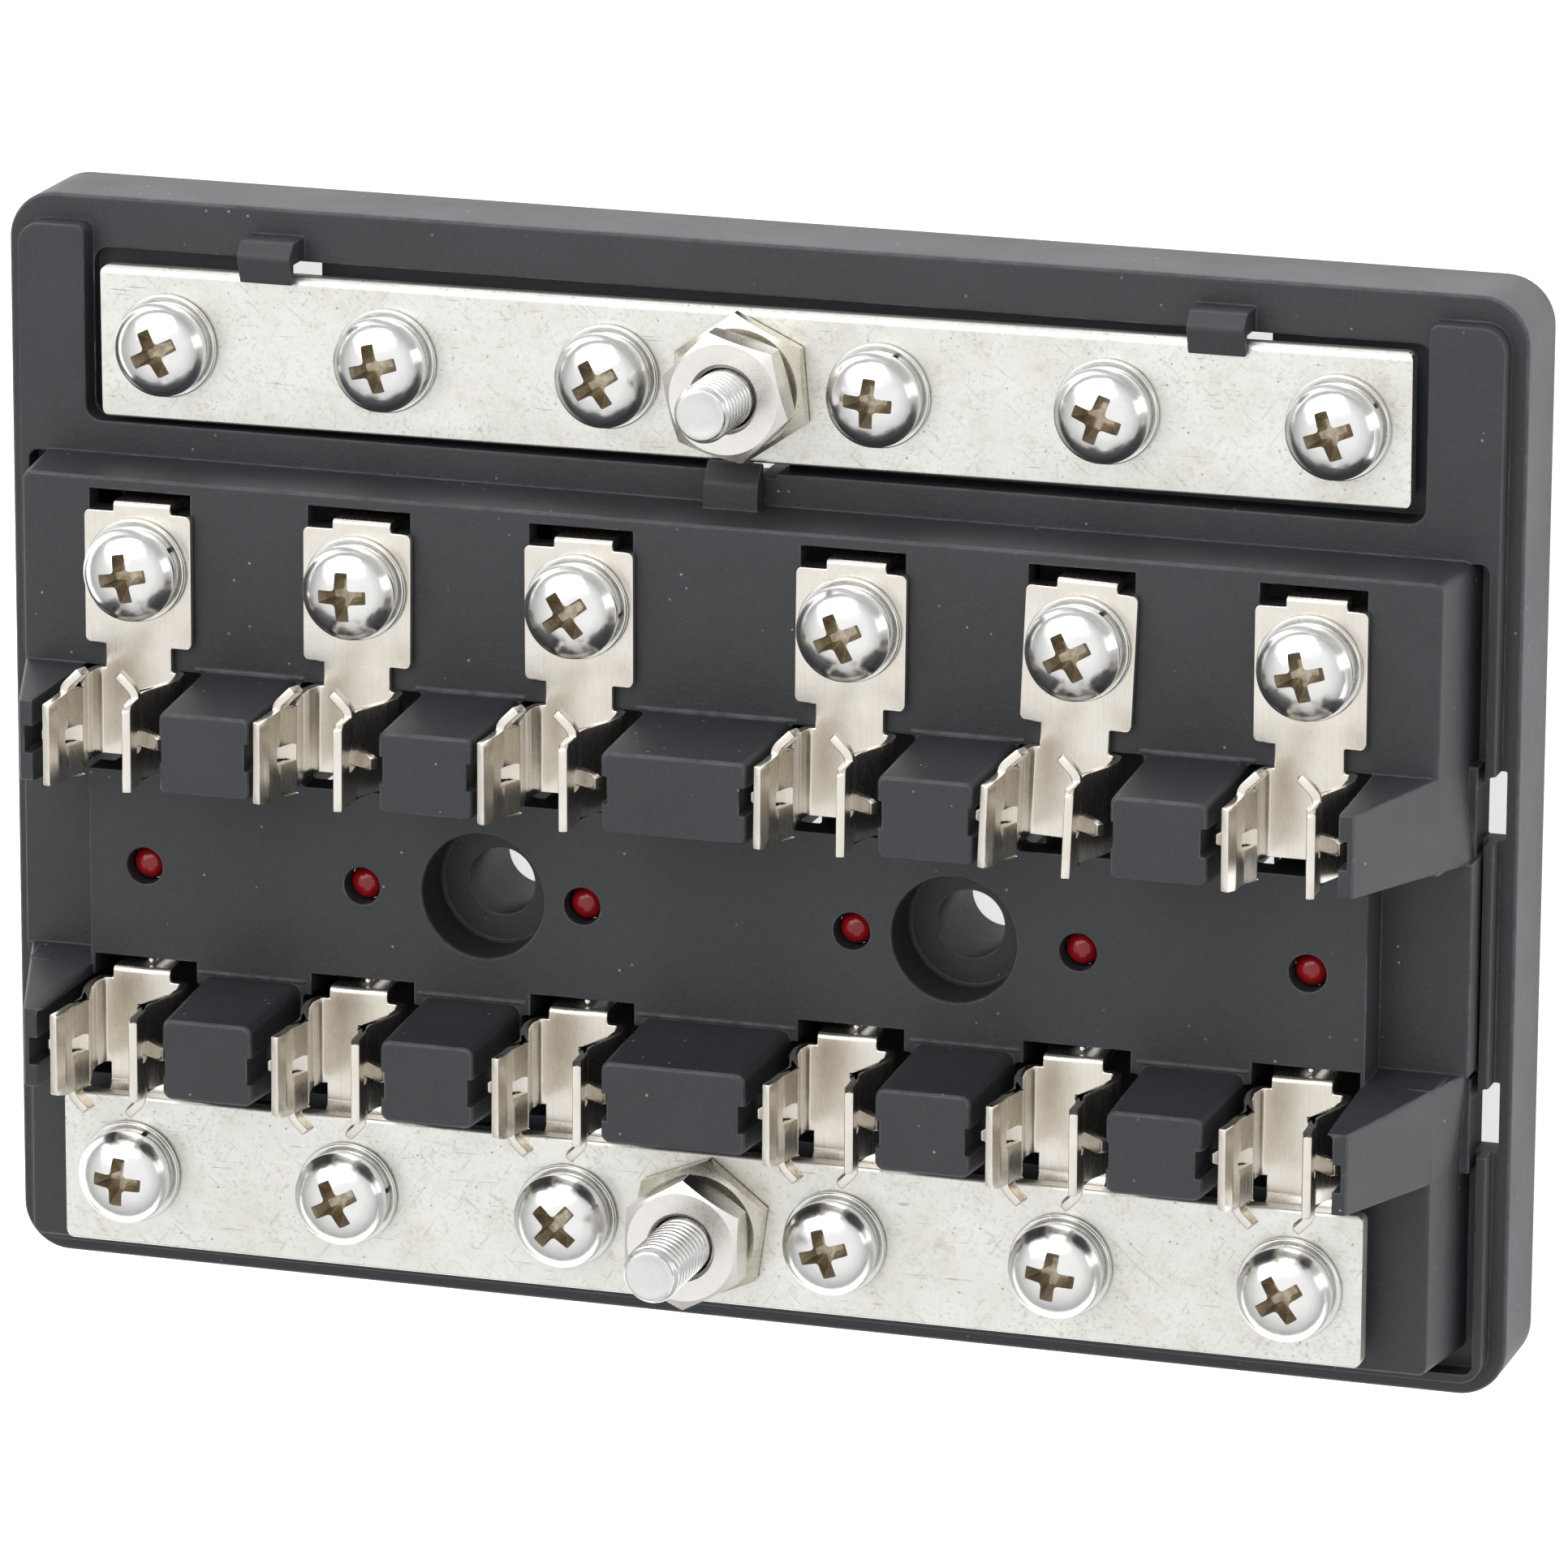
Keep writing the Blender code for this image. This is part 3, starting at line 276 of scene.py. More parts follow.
def lamp_look():
    look = Look("lamp_red", 0.10, 0.0)
    look.shader.inputs["Specular IOR Level"].default_value = 0.38
    cloud = look.noise(1.3, 3.0)
    look.set("Base Color", look.mix(look.band(cloud, 0.3, 0.7), (0.27, 0.006, 0.009), (0.18, 0.004, 0.006)))
    look.set("Roughness", look.band(look.noise(4.0, 2.0), 0.3, 0.7, 0.07, 0.14))
    look.shader.inputs["Subsurface Weight"].default_value = 0.25
    look.shader.inputs["Subsurface Radius"].default_value = (0.0015, 0.0002, 0.0002)
    look.shader.inputs["Coat Weight"].default_value = 0.15
    look.shader.inputs["Coat Roughness"].default_value = 0.04
    look.bump([(look.noise(1.1, 2.0), 0.015)])
    return look.mat


def wire_look():
    look = Look("tinned_wire", 0.25, 1.0)
    cloud = look.noise(2.0, 3.0)
    look.set("Base Color", look.mix(look.band(cloud, 0.3, 0.7), (0.82, 0.81, 0.79), (0.66, 0.64, 0.60)))
    look.set("Roughness", look.band(cloud, 0.3, 0.7, 0.18, 0.34))
    look.bump([(cloud, 0.02)])
    return look.mat


def resistor_look():
    look = Look("resistor_body", 0.35, 0.0, spread=False)
    look.mm = look.node("ShaderNodeVectorMath", {0: look.node("ShaderNodeTexCoord").outputs["Object"],
                                                  1: (1000.0, 1000.0, 1000.0)}, operation="MULTIPLY").outputs[0]
    along = look.node("ShaderNodeSeparateXYZ", {0: look.mm}).outputs["Z"]
    cloud = look.noise(1.2, 4.0)
    colour = look.mix(look.band(cloud, 0.3, 0.7), (0.56, 0.42, 0.25), (0.48, 0.35, 0.20))
    for middle, paint in ((-2.3, (0.16, 0.07, 0.03)), (-1.0, (0.02, 0.02, 0.02)), (0.0, (0.45, 0.08, 0.03)),
                          (2.2, (0.55, 0.40, 0.12))):
        gap = look.node("ShaderNodeMath", {0: look.node("ShaderNodeMath", {0: along, 1: middle},
                                                        operation="SUBTRACT").outputs[0]}, operation="ABSOLUTE").outputs[0]
        wavy = look.plus(gap, look.times(look.noise(2.0, 2.0), 0.08))
        colour = look.mix(look.band(wavy, 0.36, 0.32), colour, paint)
    look.set("Base Color", colour)
    look.set("Roughness", look.band(cloud, 0.3, 0.7, 0.28, 0.42))
    look.shader.inputs["Coat Weight"].default_value = 0.3
    look.bump([(look.noise(1.0, 3.0), 0.03)])
    return look.mat


PLASTIC = plastic_look()
BAR = bar_look()
CLIP = clip_look()
HEAD = screw_look("screw_head", (0.81, 0.81, 0.80), 0.21)
WASHER = screw_look("screw_washer", (0.76, 0.755, 0.73), 0.24)
RECESS = recess_look()
NUT = nut_look("nut_pale", (0.80, 0.77, 0.735), (0.52, 0.48, 0.40), 0.22)
BASE_NUT = nut_look("nut_stained", (0.62, 0.59, 0.50), (0.20, 0.17, 0.11), 0.8)
STUD = nut_look("stud_steel", (0.72, 0.72, 0.71), (0.45, 0.43, 0.38), 0.3)
RED = lamp_look()
WIRE = wire_look()
TAN = resistor_look()


# ---------------------------------------------------------------- modelling helpers
def add(obj):
    bpy.context.scene.collection.objects.link(obj)
    return obj


def drop(obj):
    bpy.data.objects.remove(obj, do_unlink=True)


def baked(obj):
    bpy.context.view_layer.update()
    graph = bpy.context.evaluated_depsgraph_get()
    return bpy.data.meshes.new_from_object(obj.evaluated_get(graph))


def closed(mesh, merge=1e-6):
    bm = bmesh.new()
    bm.from_mesh(mesh)
    bmesh.ops.remove_doubles(bm, verts=bm.verts, dist=merge)
    bmesh.ops.recalc_face_normals(bm, faces=bm.faces)
    bm.to_mesh(mesh)
    bm.free()
    return mesh


AXES = {
    "Z": Matrix.Identity(4),
    "Y": Matrix(((1, 0, 0, 0), (0, 0, -1, 0), (0, 1, 0, 0), (0, 0, 0, 1))),
    "X": Matrix(((0, 0, 1, 0), (1, 0, 0, 0), (0, 1, 0, 0), (0, 0, 0, 1))),
}


def outline(name, loops, low, high, axis="Z"):
    """A flat outline in mm, given thickness along an axis: (X, Y), (X, Z) or (Y, Z) points."""
    curve = bpy.data.curves.new(name, "CURVE")
    curve.dimensions = "2D"
    curve.fill_mode = "BOTH"
    curve.extrude = (high - low) / 2 * MM
    for points in loops:
        spline = curve.splines.new("POLY")
        spline.points.add(len(points) - 1)
        for point, (a, b) in zip(spline.points, points):
            point.co = (a * MM, b * MM, 0.0, 1.0)
        spline.use_cyclic_u = True
    flat = add(bpy.data.objects.new(name, curve))
    middle = (low + high) / 2 * MM * (-1 if axis == "Y" else 1)
    flat.matrix_world = AXES[axis] @ Matrix.Translation((0, 0, middle))
    mesh = baked(flat)
    mesh.transform(flat.matrix_world)
    drop(flat)
    bpy.data.curves.remove(curve)
    mesh = closed(mesh)
    bm = bmesh.new()
    bm.from_mesh(mesh)
    bmesh.ops.dissolve_limit(bm, angle_limit=math.radians(0.5), verts=bm.verts, edges=bm.edges)
    bm.to_mesh(mesh)
    bm.free()
    return add(bpy.data.objects.new(name, mesh))


def rounded(points, radii, steps=4, loop=True):
    """Corner points with each corner rounded to its radius."""
    made = []
    count = len(points)
    for i, (x, y) in enumerate(points):
        r = radii[i] if isinstance(radii, (list, tuple)) else radii
        if r <= 0 or (not loop and i in (0, count - 1)):
            made.append((x, y))
            continue
        ax, ay = points[i - 1][0] - x, points[i - 1][1] - y
        bx, by = points[(i + 1) % count][0] - x, points[(i + 1) % count][1] - y
        la, lb = math.hypot(ax, ay), math.hypot(bx, by)
        ax, ay, bx, by = ax / la, ay / la, bx / lb, by / lb
        half = math.acos(max(-1.0, min(1.0, ax * bx + ay * by))) / 2
        back = r / math.tan(half)
        if back > 0.49 * min(la, lb):
            back = 0.49 * min(la, lb)
            r = back * math.tan(half)
        mx, my = ax + bx, ay + by
        lm = math.hypot(mx, my)
        cx, cy = x + mx / lm * r / math.sin(half), y + my / lm * r / math.sin(half)
        start = math.atan2(y + ay * back - cy, x + ax * back - cx)
        stop = math.atan2(y + by * back - cy, x + bx * back - cx)
        sweep = (stop - start + math.pi) % (2 * math.pi) - math.pi
        for k in range(steps + 1):
            t = start + sweep * k / steps
            made.append((cx + r * math.cos(t), cy + r * math.sin(t)))
    return made


def rect(x0, x1, y0, y1, r=0.0, steps=3):
    return rounded([(x0, y0), (x1, y0), (x1, y1), (x0, y1)], r, steps)


def ring(cx, cy, r, steps=24, turn=0.0):
    return [(cx + r * math.cos(turn + 2 * math.pi * k / steps), cy + r * math.sin(turn + 2 * math.pi * k / steps))
            for k in range(steps)]


def tapered(name, foot, top, z0, z1, soft=0.0, upright=0.0):
    """A block drawn in from its foot (x0, x1, y0, y1) to its top, its edges rounded."""
    bm = bmesh.new()
    bmesh.ops.create_cube(bm, size=1.0)
    for vert in bm.verts:
        x0, x1, y0, y1 = top if vert.co.z > 0 else foot
        vert.co = ((x1 if vert.co.x > 0 else x0) * MM, (y1 if vert.co.y > 0 else y0) * MM,
                   (z1 if vert.co.z > 0 else z0) * MM)
    if soft or upright:
        standing = [e for e in bm.edges if abs(e.verts[0].co.z - e.verts[1].co.z) > 1e-5]
        if upright:
            bmesh.ops.bevel(bm, geom=standing, offset=upright * MM, segments=4, affect="EDGES", profile=0.5)
            standing = []
        high = [e for e in bm.edges if min(v.co.z for v in e.verts) > z1 * MM - 1e-6]
        bmesh.ops.bevel(bm, geom=high + standing, offset=soft * MM, segments=3, affect="EDGES", profile=0.5)
    mesh = bpy.data.meshes.new(name)
    bm.to_mesh(mesh)
    bm.free()
    return add(bpy.data.objects.new(name, closed(mesh)))


def hull(name, points):
    """The tightest solid round some points in mm."""
    bm = bmesh.new()
    for x, y, z in points:
        bm.verts.new((x * MM, y * MM, z * MM))
    bmesh.ops.convex_hull(bm, input=bm.verts)
    bmesh.ops.dissolve_limit(bm, angle_limit=math.radians(0.5), verts=bm.verts, edges=bm.edges)
    mesh = bpy.data.meshes.new(name)
    bm.to_mesh(mesh)
    bm.free()
    return add(bpy.data.objects.new(name, closed(mesh)))


def box(name, x0, x1, y0, y1, z0, z1):
    return tapered(name, (x0, x1, y0, y1), (x0, x1, y0, y1), z0, z1)


def merged(name, pieces):
    bm = bmesh.new()
    for piece in pieces:
        piece.data.transform(piece.matrix_world)
        bm.from_mesh(piece.data)
        drop(piece)
    mesh = bpy.data.meshes.new(name)
    bm.to_mesh(mesh)
    bm.free()
    return add(bpy.data.objects.new(name, mesh))


def combine(target, tool, how):
    mod = target.modifiers.new(tool.name, "BOOLEAN")
    mod.operation = how
    mod.solver = "EXACT"
    mod.object = tool
    if how == "DIFFERENCE" and tool.data.materials:
        mod.material_mode = "TRANSFER"
    return target


def settle(target):
    mesh = baked(target)
    tools = [m.object for m in target.modifiers if m.type == "BOOLEAN"]
    target.modifiers.clear()
    target.data = mesh
    for tool in tools:
        drop(tool)
    return target


def softened(obj, width, segments=2, angle=60.0):
    edge = obj.modifiers.new("edge", "BEVEL")
    edge.width = width * MM
    edge.segments = segments
    edge.limit_method = "ANGLE"
    edge.angle_limit = math.radians(angle)
    return settle(obj)


def turned(name, profile, steps=48):
    """A profile of (radius, height) in mm, top to bottom, spun about Z."""
    mesh = bpy.data.meshes.new(name)
    mesh.from_pydata([(r * MM, 0.0, z * MM) for r, z in profile], [(i, i + 1) for i in range(len(profile) - 1)], [])
    obj = add(bpy.data.objects.new(name, mesh))
    spin = obj.modifiers.new("spin", "SCREW")
    spin.axis = "Z"
    spin.steps = spin.render_steps = steps
    spin.use_merge_vertices = True
    spin.merge_threshold = 0.000003
    settle(obj)
    closed(obj.data, 1e-7)
    return obj


def smooth(obj, angle=32.0, weighted=True):
    obj.data.shade_smooth()
    obj.data.set_sharp_from_angle(angle=math.radians(angle))
    if weighted:
        even = obj.modifiers.new("even", "WEIGHTED_NORMAL")
        even.weight = 60
        even.keep_sharp = True
    return obj


def dress(obj, mat, angle=32.0, weighted=True):
    obj.data.materials.clear()
    obj.data.materials.append(mat)
    return smooth(obj, angle, weighted)


def keep(obj, body, slot, *nodes):
    """Rides a piece on a body and hides the nodes that it stands for; slot is not used."""
    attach(obj, body)
    if nodes:
        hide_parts(*nodes)
    return obj


def copy_of(name, mesh, x=0.0, y=0.0, z=0.0, turn=0.0):
    obj = add(bpy.data.objects.new(name, mesh))
    obj.location = (x * MM, y * MM, z * MM)
    obj.rotation_euler = (0.0, 0.0, math.radians(turn))
    return obj


def finished(obj):
    """Bakes the modifiers in, so that copies share the result."""
    mesh = baked(obj)
    drop(obj)
    return mesh


# ---------------------------------------------------------------- base moulding
def base_piece():
    base = softened(outline("moulding", [rect(-BASE_X, BASE_X, Y(BASE_Y0), Y(BASE_Y1), BASE_R, 12)], 0.0, FLANGE_Z), 0.35, 3)

    rim = [(-62.9, Y(-35.5)), (62.9, Y(-35.5)), (62.9, Y(52.05)), (56.7, Y(52.05)), (56.7, Y(35.77)),
           (-57.0, Y(35.77)), (-57.0, Y(52.05)), (-62.9, Y(52.05))]
    rim = rounded(rim, [2.0, 2.0, 2.0, 0.8, 1.3, 1.3, 0.8, 2.0], 6)
    combine(base, softened(outline("ridge", [rim], FLANGE_Z - 0.8, RIDGE_Z), 0.2, 2), "UNION")
    combine(base, outline("groove", [rect(-62.1, 62.1, Y(-34.7), Y(32.9), 0.8, 4)], FLANGE_Z, RIDGE_Z + 1.0), "DIFFERENCE")
    px, py0, py1 = PLATFORM_TOP
    fx, fy0, fy1 = PLATFORM_FOOT
    combine(base, tapered("platform", (-fx - 0.1, fx + 0.1, Y(fy0 - 0.05), Y(fy1 + 0.05)), (-px, px, Y(py0), Y(py1)),
                          FLANGE_Z - 1.0, FACE_Z, 0.35, 0.8), "UNION")
    combine(base, merged("ears", [tapered("ear", (x0, x1, Y(-8.85), Y(8.95)), (x0, x1, Y(-8.85), Y(8.95)), 7.0, 13.7, 0.2)
                                  for x0, x1 in ((59.0, 61.9), (-61.9, -59.0))]), "UNION")
    blocks = []
    for a0, a1, b0, b1 in BLOCKS:
        blocks.append(tapered("block", (a0, a1, Y(9.1), Y(17.05)), (b0, b1, Y(9.65), Y(16.45)), FACE_Z - 0.5, BLOCK_TOP_Z,
                              0.4, 0.65))
        blocks.append(tapered("block", (a0, a1, Y(-16.9), Y(-8.9)), (b0, b1, Y(-16.3), Y(-9.45)), FACE_Z - 0.5,
                              BLOCK_TOP_Z, 0.4, 0.8))
    combine(base, merged("blocks", blocks), "UNION")
    gussets = []
    for side in (1, -1):
        for near, far, top_near, top_far in ((8.83, 16.9, 9.75, 16.55), (-8.67, -16.8, -9.55, -16.3)):
            corners = [(x, v, BLOCK_TOP_Z) for x in (54.3, 56.0) for v in (top_near, top_far)]
            corners += [(54.3, v, z) for v in (near, far) for z in (10.8, 17.6)]
            corners += [(61.45, near, 10.8), (61.45, near, 13.6), (60.4, far, 10.8), (60.5, far, 13.6), (60.03, far, 17.6)]
            gussets.append(softened(hull("gusset", [(side * x, Y(v), z) for x, v, z in corners]), 0.25, 2, 35.0))
    combine(base, merged("gussets", gussets), "UNION")
    feet = [tapered("foot", (x0, x1, Y(v0), Y(v1)), (x0, x1, Y(v0), Y(v1)), 8.0, 11.3, 0.15)
            for x0, x1 in ((59.5, 61.55), (-61.55, -59.5)) for v0, v1 in ((8.5, 16.3), (-17.6, -9.7))]
    combine(base, merged("feet", feet), "UNION")
    # slim beads along the foot of each block, where the mould's inserts meet
    beads = []
    for a0, a1, b0, b1 in BLOCKS:
        beads.append(tapered("bead", (a0 - 0.5, a1 + 0.5, Y(16.95), Y(17.35)), (a0 - 0.5, a1 + 0.5, Y(17.05), Y(17.25)),
                             FACE_Z - 0.3, FACE_Z + 0.16, 0.04))
        beads.append(tapered("bead", (a0 - 0.4, a1 + 0.4, Y(-8.85), Y(-8.5)), (a0 - 0.4, a1 + 0.4, Y(-8.8), Y(-8.6)),
                             FACE_Z - 0.3, FACE_Z + 0.14, 0.04))
    combine(base, merged("beads", beads), "UNION")

    hooks = []
    for x0, x1 in ((-43.1, -38.5), (37.2, 42.0)):
        side = rounded([(Y(50.1), 6.5), (Y(52.05), 6.5), (Y(51.95), 11.6), (Y(50.8), 12.6), (Y(48.5), 11.85),
                        (Y(48.5), 11.42), (Y(50.1), 11.42)], [0, 0, 0.7, 0.7, 0, 0, 0], 4)
        hooks.append(softened(outline("hook", [side], x0, x1, "X"), 0.14, 2, 75.0))
    side = rounded([(Y(32.2), 10.0), (Y(33.3), 10.0), (Y(33.6), 11.42), (Y(36.65), 11.42), (Y(36.65), 11.9),
                    (Y(35.1), 13.1), (Y(32.2), 13.2)], [0, 0, 0, 0, 0, 0.8, 0], 4)
    hooks.append(softened(outline("hook", [side], -2.85, 1.8, "X"), 0.14, 2, 75.0))
    combine(base, merged("hooks", hooks), "UNION")

    combine(base, outline("bay", [rect(BAY[0], BAY[1], Y(BAY[2]), Y(BAY[3]), 1.3, 6)], BAY_FLOOR_Z, FLANGE_Z + 0.6),
            "DIFFERENCE")
    pads = []
    for x in COLUMNS:
        pads.append(outline("pad", [ring(x, Y(UPPER_ROW_Y), 4.4, 36), ring(x, Y(UPPER_ROW_Y), 2.8, 36)], BAY_FLOOR_Z - 0.4, 9.4))
        pads.append(tapered("pad", (x - 4.9, x + 4.9, Y(-31.4), Y(-19.6)), (x - 4.9, x + 4.9, Y(-31.4), Y(-19.6)),
                            FACE_Z - 0.4, FACE_Z + 0.8, 0.15))
    pads.append(outline("pad", [ring(0, Y(UPPER_ROW_Y), 5.4, 36), ring(0, Y(UPPER_ROW_Y), 3.0, 36)], BAY_FLOOR_Z - 0.4, 9.4))
    combine(base, merged("pads", pads), "UNION")
    combine(base, merged("ribs", [box("rib", x - 2.0, x + 2.0, Y(-31.2), Y(-19.2), FACE_Z - 0.4, FACE_Z + 1.85)
                                  for x in (-40.1, -21.0, 21.0, 40.1)]
                         + [box("rib", s * 4.2 - 0.7, s * 4.2 + 0.7, Y(-31.2), Y(-19.2), FACE_Z - 0.4, FACE_Z + 1.85)
                            for s in (-1, 1)]), "UNION")
    combine(base, merged("pockets", [tapered("pocket", (x0, x1, Y(-8.62), Y(8.72)), (x0, x1, Y(-8.88), Y(8.98)), 13.7,
                                             FACE_Z + 1.0) for x0, x1 in ((54.45, 62.6), (-62.6, -54.45))]), "DIFFERENCE")

    hollows = [box("hollow", -58.2, 58.2, Y(19.4), Y(31.8), -1.0, FACE_Z - SKIN),
               box("hollow", -55.5, 55.5, Y(34.4), Y(51.3), -1.0, BAY_FLOOR_Z - SKIN),
               box("hollow", -58.2, 58.2, Y(-31.4), Y(-18.6), -1.0, FACE_Z - SKIN),
               outline("hollow", [[(-56.2, -1.0), (56.2, -1.0), (56.2, 11.2), (52.8, 11.2), (52.8, FACE_Z - SKIN),
                                   (-52.8, FACE_Z - SKIN), (-52.8, 11.2), (-56.2, 11.2)]], Y(-7.3), Y(6.4), "Y")]
    for a0, a1, b0, b1 in BLOCKS:
        inset = 1.9
        for v0, v1, w0, w1 in ((9.1, 17.05, 9.65, 16.45), (-16.9, -8.9, -16.3, -9.45)):
            hollows.append(tapered("core", (a0 + inset, a1 - inset, Y(v0 + inset), Y(v1 - inset)),
                                   (b0 + inset, b1 - inset, Y(w0 + inset), Y(w1 - inset)), -1.0, BLOCK_TOP_Z - 2.0, 0.3))
    combine(base, merged("hollows", hollows), "DIFFERENCE")
    pillars = [outline("pillar", [ring(s * MOUNT_X, Y(0.05), 6.5, 48)], 0.0, FACE_Z - 1.0) for s in (-1, 1)]
    pillars += [box("pillar", x - 0.8, x + 0.8, Y(19.0), Y(32.0), 0.0, FACE_Z - 1.0) for x in (-21.0, 0.0, 21.0)]
    pillars += [box("pillar", x - 0.8, x + 0.8, Y(-32.0), Y(-18.0), 0.0, FACE_Z - 1.0) for x in (-21.0, 21.0)]
    combine(base, merged("pillars", pillars), "UNION")

    wells = []
    for x in COLUMNS:
        for v0, v1 in ((8.0, 16.9), (-18.2, -9.7)):
            wells.append(outline("well", [rect(x - WELL_HALF_X, x + WELL_HALF_X, Y(v0), Y(v1), 0.35, 3)], WELL_FLOOR_Z,
                                 BLOCK_TOP_Z + 1.0))
    combine(base, merged("wells", wells), "DIFFERENCE")
    slots = []
    for x in COLUMNS:
        slots.append(box("slot", x - 4.5, x + 4.35, Y(30.0), Y(31.8), 12.0, FACE_Z + 1.0))
        slots.append(box("slot", x - 4.5, x + 4.5, Y(-10.2), Y(-7.85), 9.0, FACE_Z + 1.0))
        slots.append(box("notch", x - 6.0, x - 3.6, Y(6.0), Y(8.3), -1.0, 15.2))
        for v0, v1 in ((12.1, 14.4), (-14.4, -12.1)):
            slots.append(outline("notch", [rect(x - 5.95, x + 5.95, 24.5, BLOCK_TOP_Z + 1.2, 0.5, 3)], Y(v0), Y(v1), "Y"))
    combine(base, merged("slots", slots), "DIFFERENCE")
    combine(base, merged("lead_notches", [box("notch", x - 0.9, x + 0.9, Y(-8.2), Y(-7.0), -1.0, 16.6) for x in COLUMNS]),
            "DIFFERENCE")

    holes = []
    for x in COLUMNS:
        holes.append(outline("hole", [ring(x, Y(0.0), 1.58, 36)], 10.0, FACE_Z + 1.0))
        holes.append(outline("hole", [ring(x, Y(TERMINAL_ROW_Y), 2.6, 24)], 10.0, FACE_Z + 1.0))
        holes.append(outline("hole", [ring(x, Y(LOWER_ROW_Y), 2.6, 24)], 10.0, FACE_Z + 3.0))
        holes.append(outline("hole", [ring(x, Y(UPPER_ROW_Y), 2.6, 24)], 3.0, 12.0))
    holes.append(outline("hole", [ring(0, Y(UPPER_ROW_Y), 2.8, 36)], 3.0, 12.0))
    holes.append(outline("hole", [ring(0, Y(LOWER_ROW_Y), 2.8, 36)], 10.0, FACE_Z + 3.0))
    for s in (-1, 1):
        sink = turned("mount", [(0.0, FACE_Z + 1.0), (5.7, FACE_Z + 1.0), (5.7, FACE_Z + 0.45), (5.25, FACE_Z - 0.15),
                                (5.25, 13.2), (5.05, 13.0), (2.85, 13.0), (2.85, 3.0), (4.7, 3.0), (4.7, -1.0),
                                (0.0, -1.0)], 64)
        sink.data.transform(Matrix.Translation((s * MOUNT_X * MM, Y(0.05) * MM, 0.0)))
        holes.append(sink)
    combine(base, merged("holes", holes), "DIFFERENCE")

    cuts = []
    for s in (-1, 1):
        for v0, v1 in ((9.8, 15.55), (-16.2, -10.4)):
            slot = [(s * 61.5, Y(v0)), (s * 63.4, Y(v0)), (s * 63.4, Y(v1)), (s * 62.6, Y(v1)), (s * 61.5, Y(v1 - 1.1))]
            cuts.append(outline("rim_slot", [rounded(slot, 0.15, 2)], 6.0, RIDGE_Z + 1.0))
    cuts.append(box("under_hook", -43.1, -37.4, Y(48.1), Y(49.85), -1.0, BAY_FLOOR_Z + 0.9))
    cuts.append(box("under_hook", 37.2, 43.1, Y(48.1), Y(49.85), -1.0, BAY_FLOOR_Z + 0.9))
    cuts.append(outline("under_hook", [[(-2.7, Y(33.4)), (1.1, Y(33.4)), (1.1, Y(35.4)), (2.8, Y(35.4)), (2.8, Y(36.3)),
                                        (-2.7, Y(36.3))]], -1.0, 11.3))
    combine(base, merged("rim_slots", cuts), "DIFFERENCE")
    combine(base, merged("rim_hollows", [box("rim_hollow", *sorted((s * 59.6, s * 63.42)), Y(v0), Y(v1), -1.0, 7.0)
                                         for s in (-1, 1) for v0, v1 in ((7.7, 15.6), (-18.3, -10.35))]), "DIFFERENCE")
    settle(base)
    base.name = "base_moulding"
    return dress(base, PLASTIC, 28.0)


base_nodes = [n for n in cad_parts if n.startswith("base_")]
keep(base_piece(), ROOT, "plastic", *base_nodes)


# ---------------------------------------------------------------- bus bars
def bar_piece(name, low, high, front, turn, row, roll):
    middle, half = (low + high) / 2, (high - low) / 2
    section = rounded([(-half, -BAR_T), (half, -BAR_T), (half, 0.0), (-half, 0.0)], [0.25, 0.3, roll, 0.22], 6)
    bar = outline(name, [section], -BAR_HALF - 1.0, BAR_HALF + 1.0, "X")
    combine(bar, outline("ends", [rect(-BAR_HALF, BAR_HALF, -half - 0.01, half + 0.01, 0.75, 5)], -BAR_T - 1.0, 1.0),
            "INTERSECT")
    settle(bar)
    softened(bar, 0.16, 2, 62.0)
    drills = [outline("drill", [ring(x, row - middle, 2.35, 36)], -BAR_T - 1.0, 1.0) for x in COLUMNS]
    drills.append(outline("drill", [ring(0.0, row - middle, 2.75, 36)], -BAR_T - 1.0, 1.0))
    combine(bar, merged(name + "_drills", drills), "DIFFERENCE")
    settle(bar)
    bar.name = name + "_plate"
    bar.location = (0.0, Y(middle) * MM, front * MM)
    bar.rotation_euler = (0.0, 0.0, turn)
    dress(bar, BAR, 40.0)
    return keep(bar, ROOT, "nickel", name)


bar_piece("upper_bus_bar", *UPPER_BAR, UPPER_BAR_TURN, UPPER_ROW_Y, 0.85)
bar_piece("lower_bus_bar", *LOWER_BAR, LOWER_BAR_TURN, LOWER_ROW_Y, 0.4)


# ---------------------------------------------------------------- fuse clips
SECTION = rounded([(2.87, PLATE_Z + SHEET), (3.30, PLATE_Z + SHEET), (3.52, 20.4), (3.28, 22.0), (2.22, 25.35),
                   (2.72, 27.5), (2.80, 29.3), (3.16, CLIP_TIP_Z)],
                  [0, 0.55, 1.6, 1.8, 0.55, 1.4, 1.2, 0], 4, loop=False)


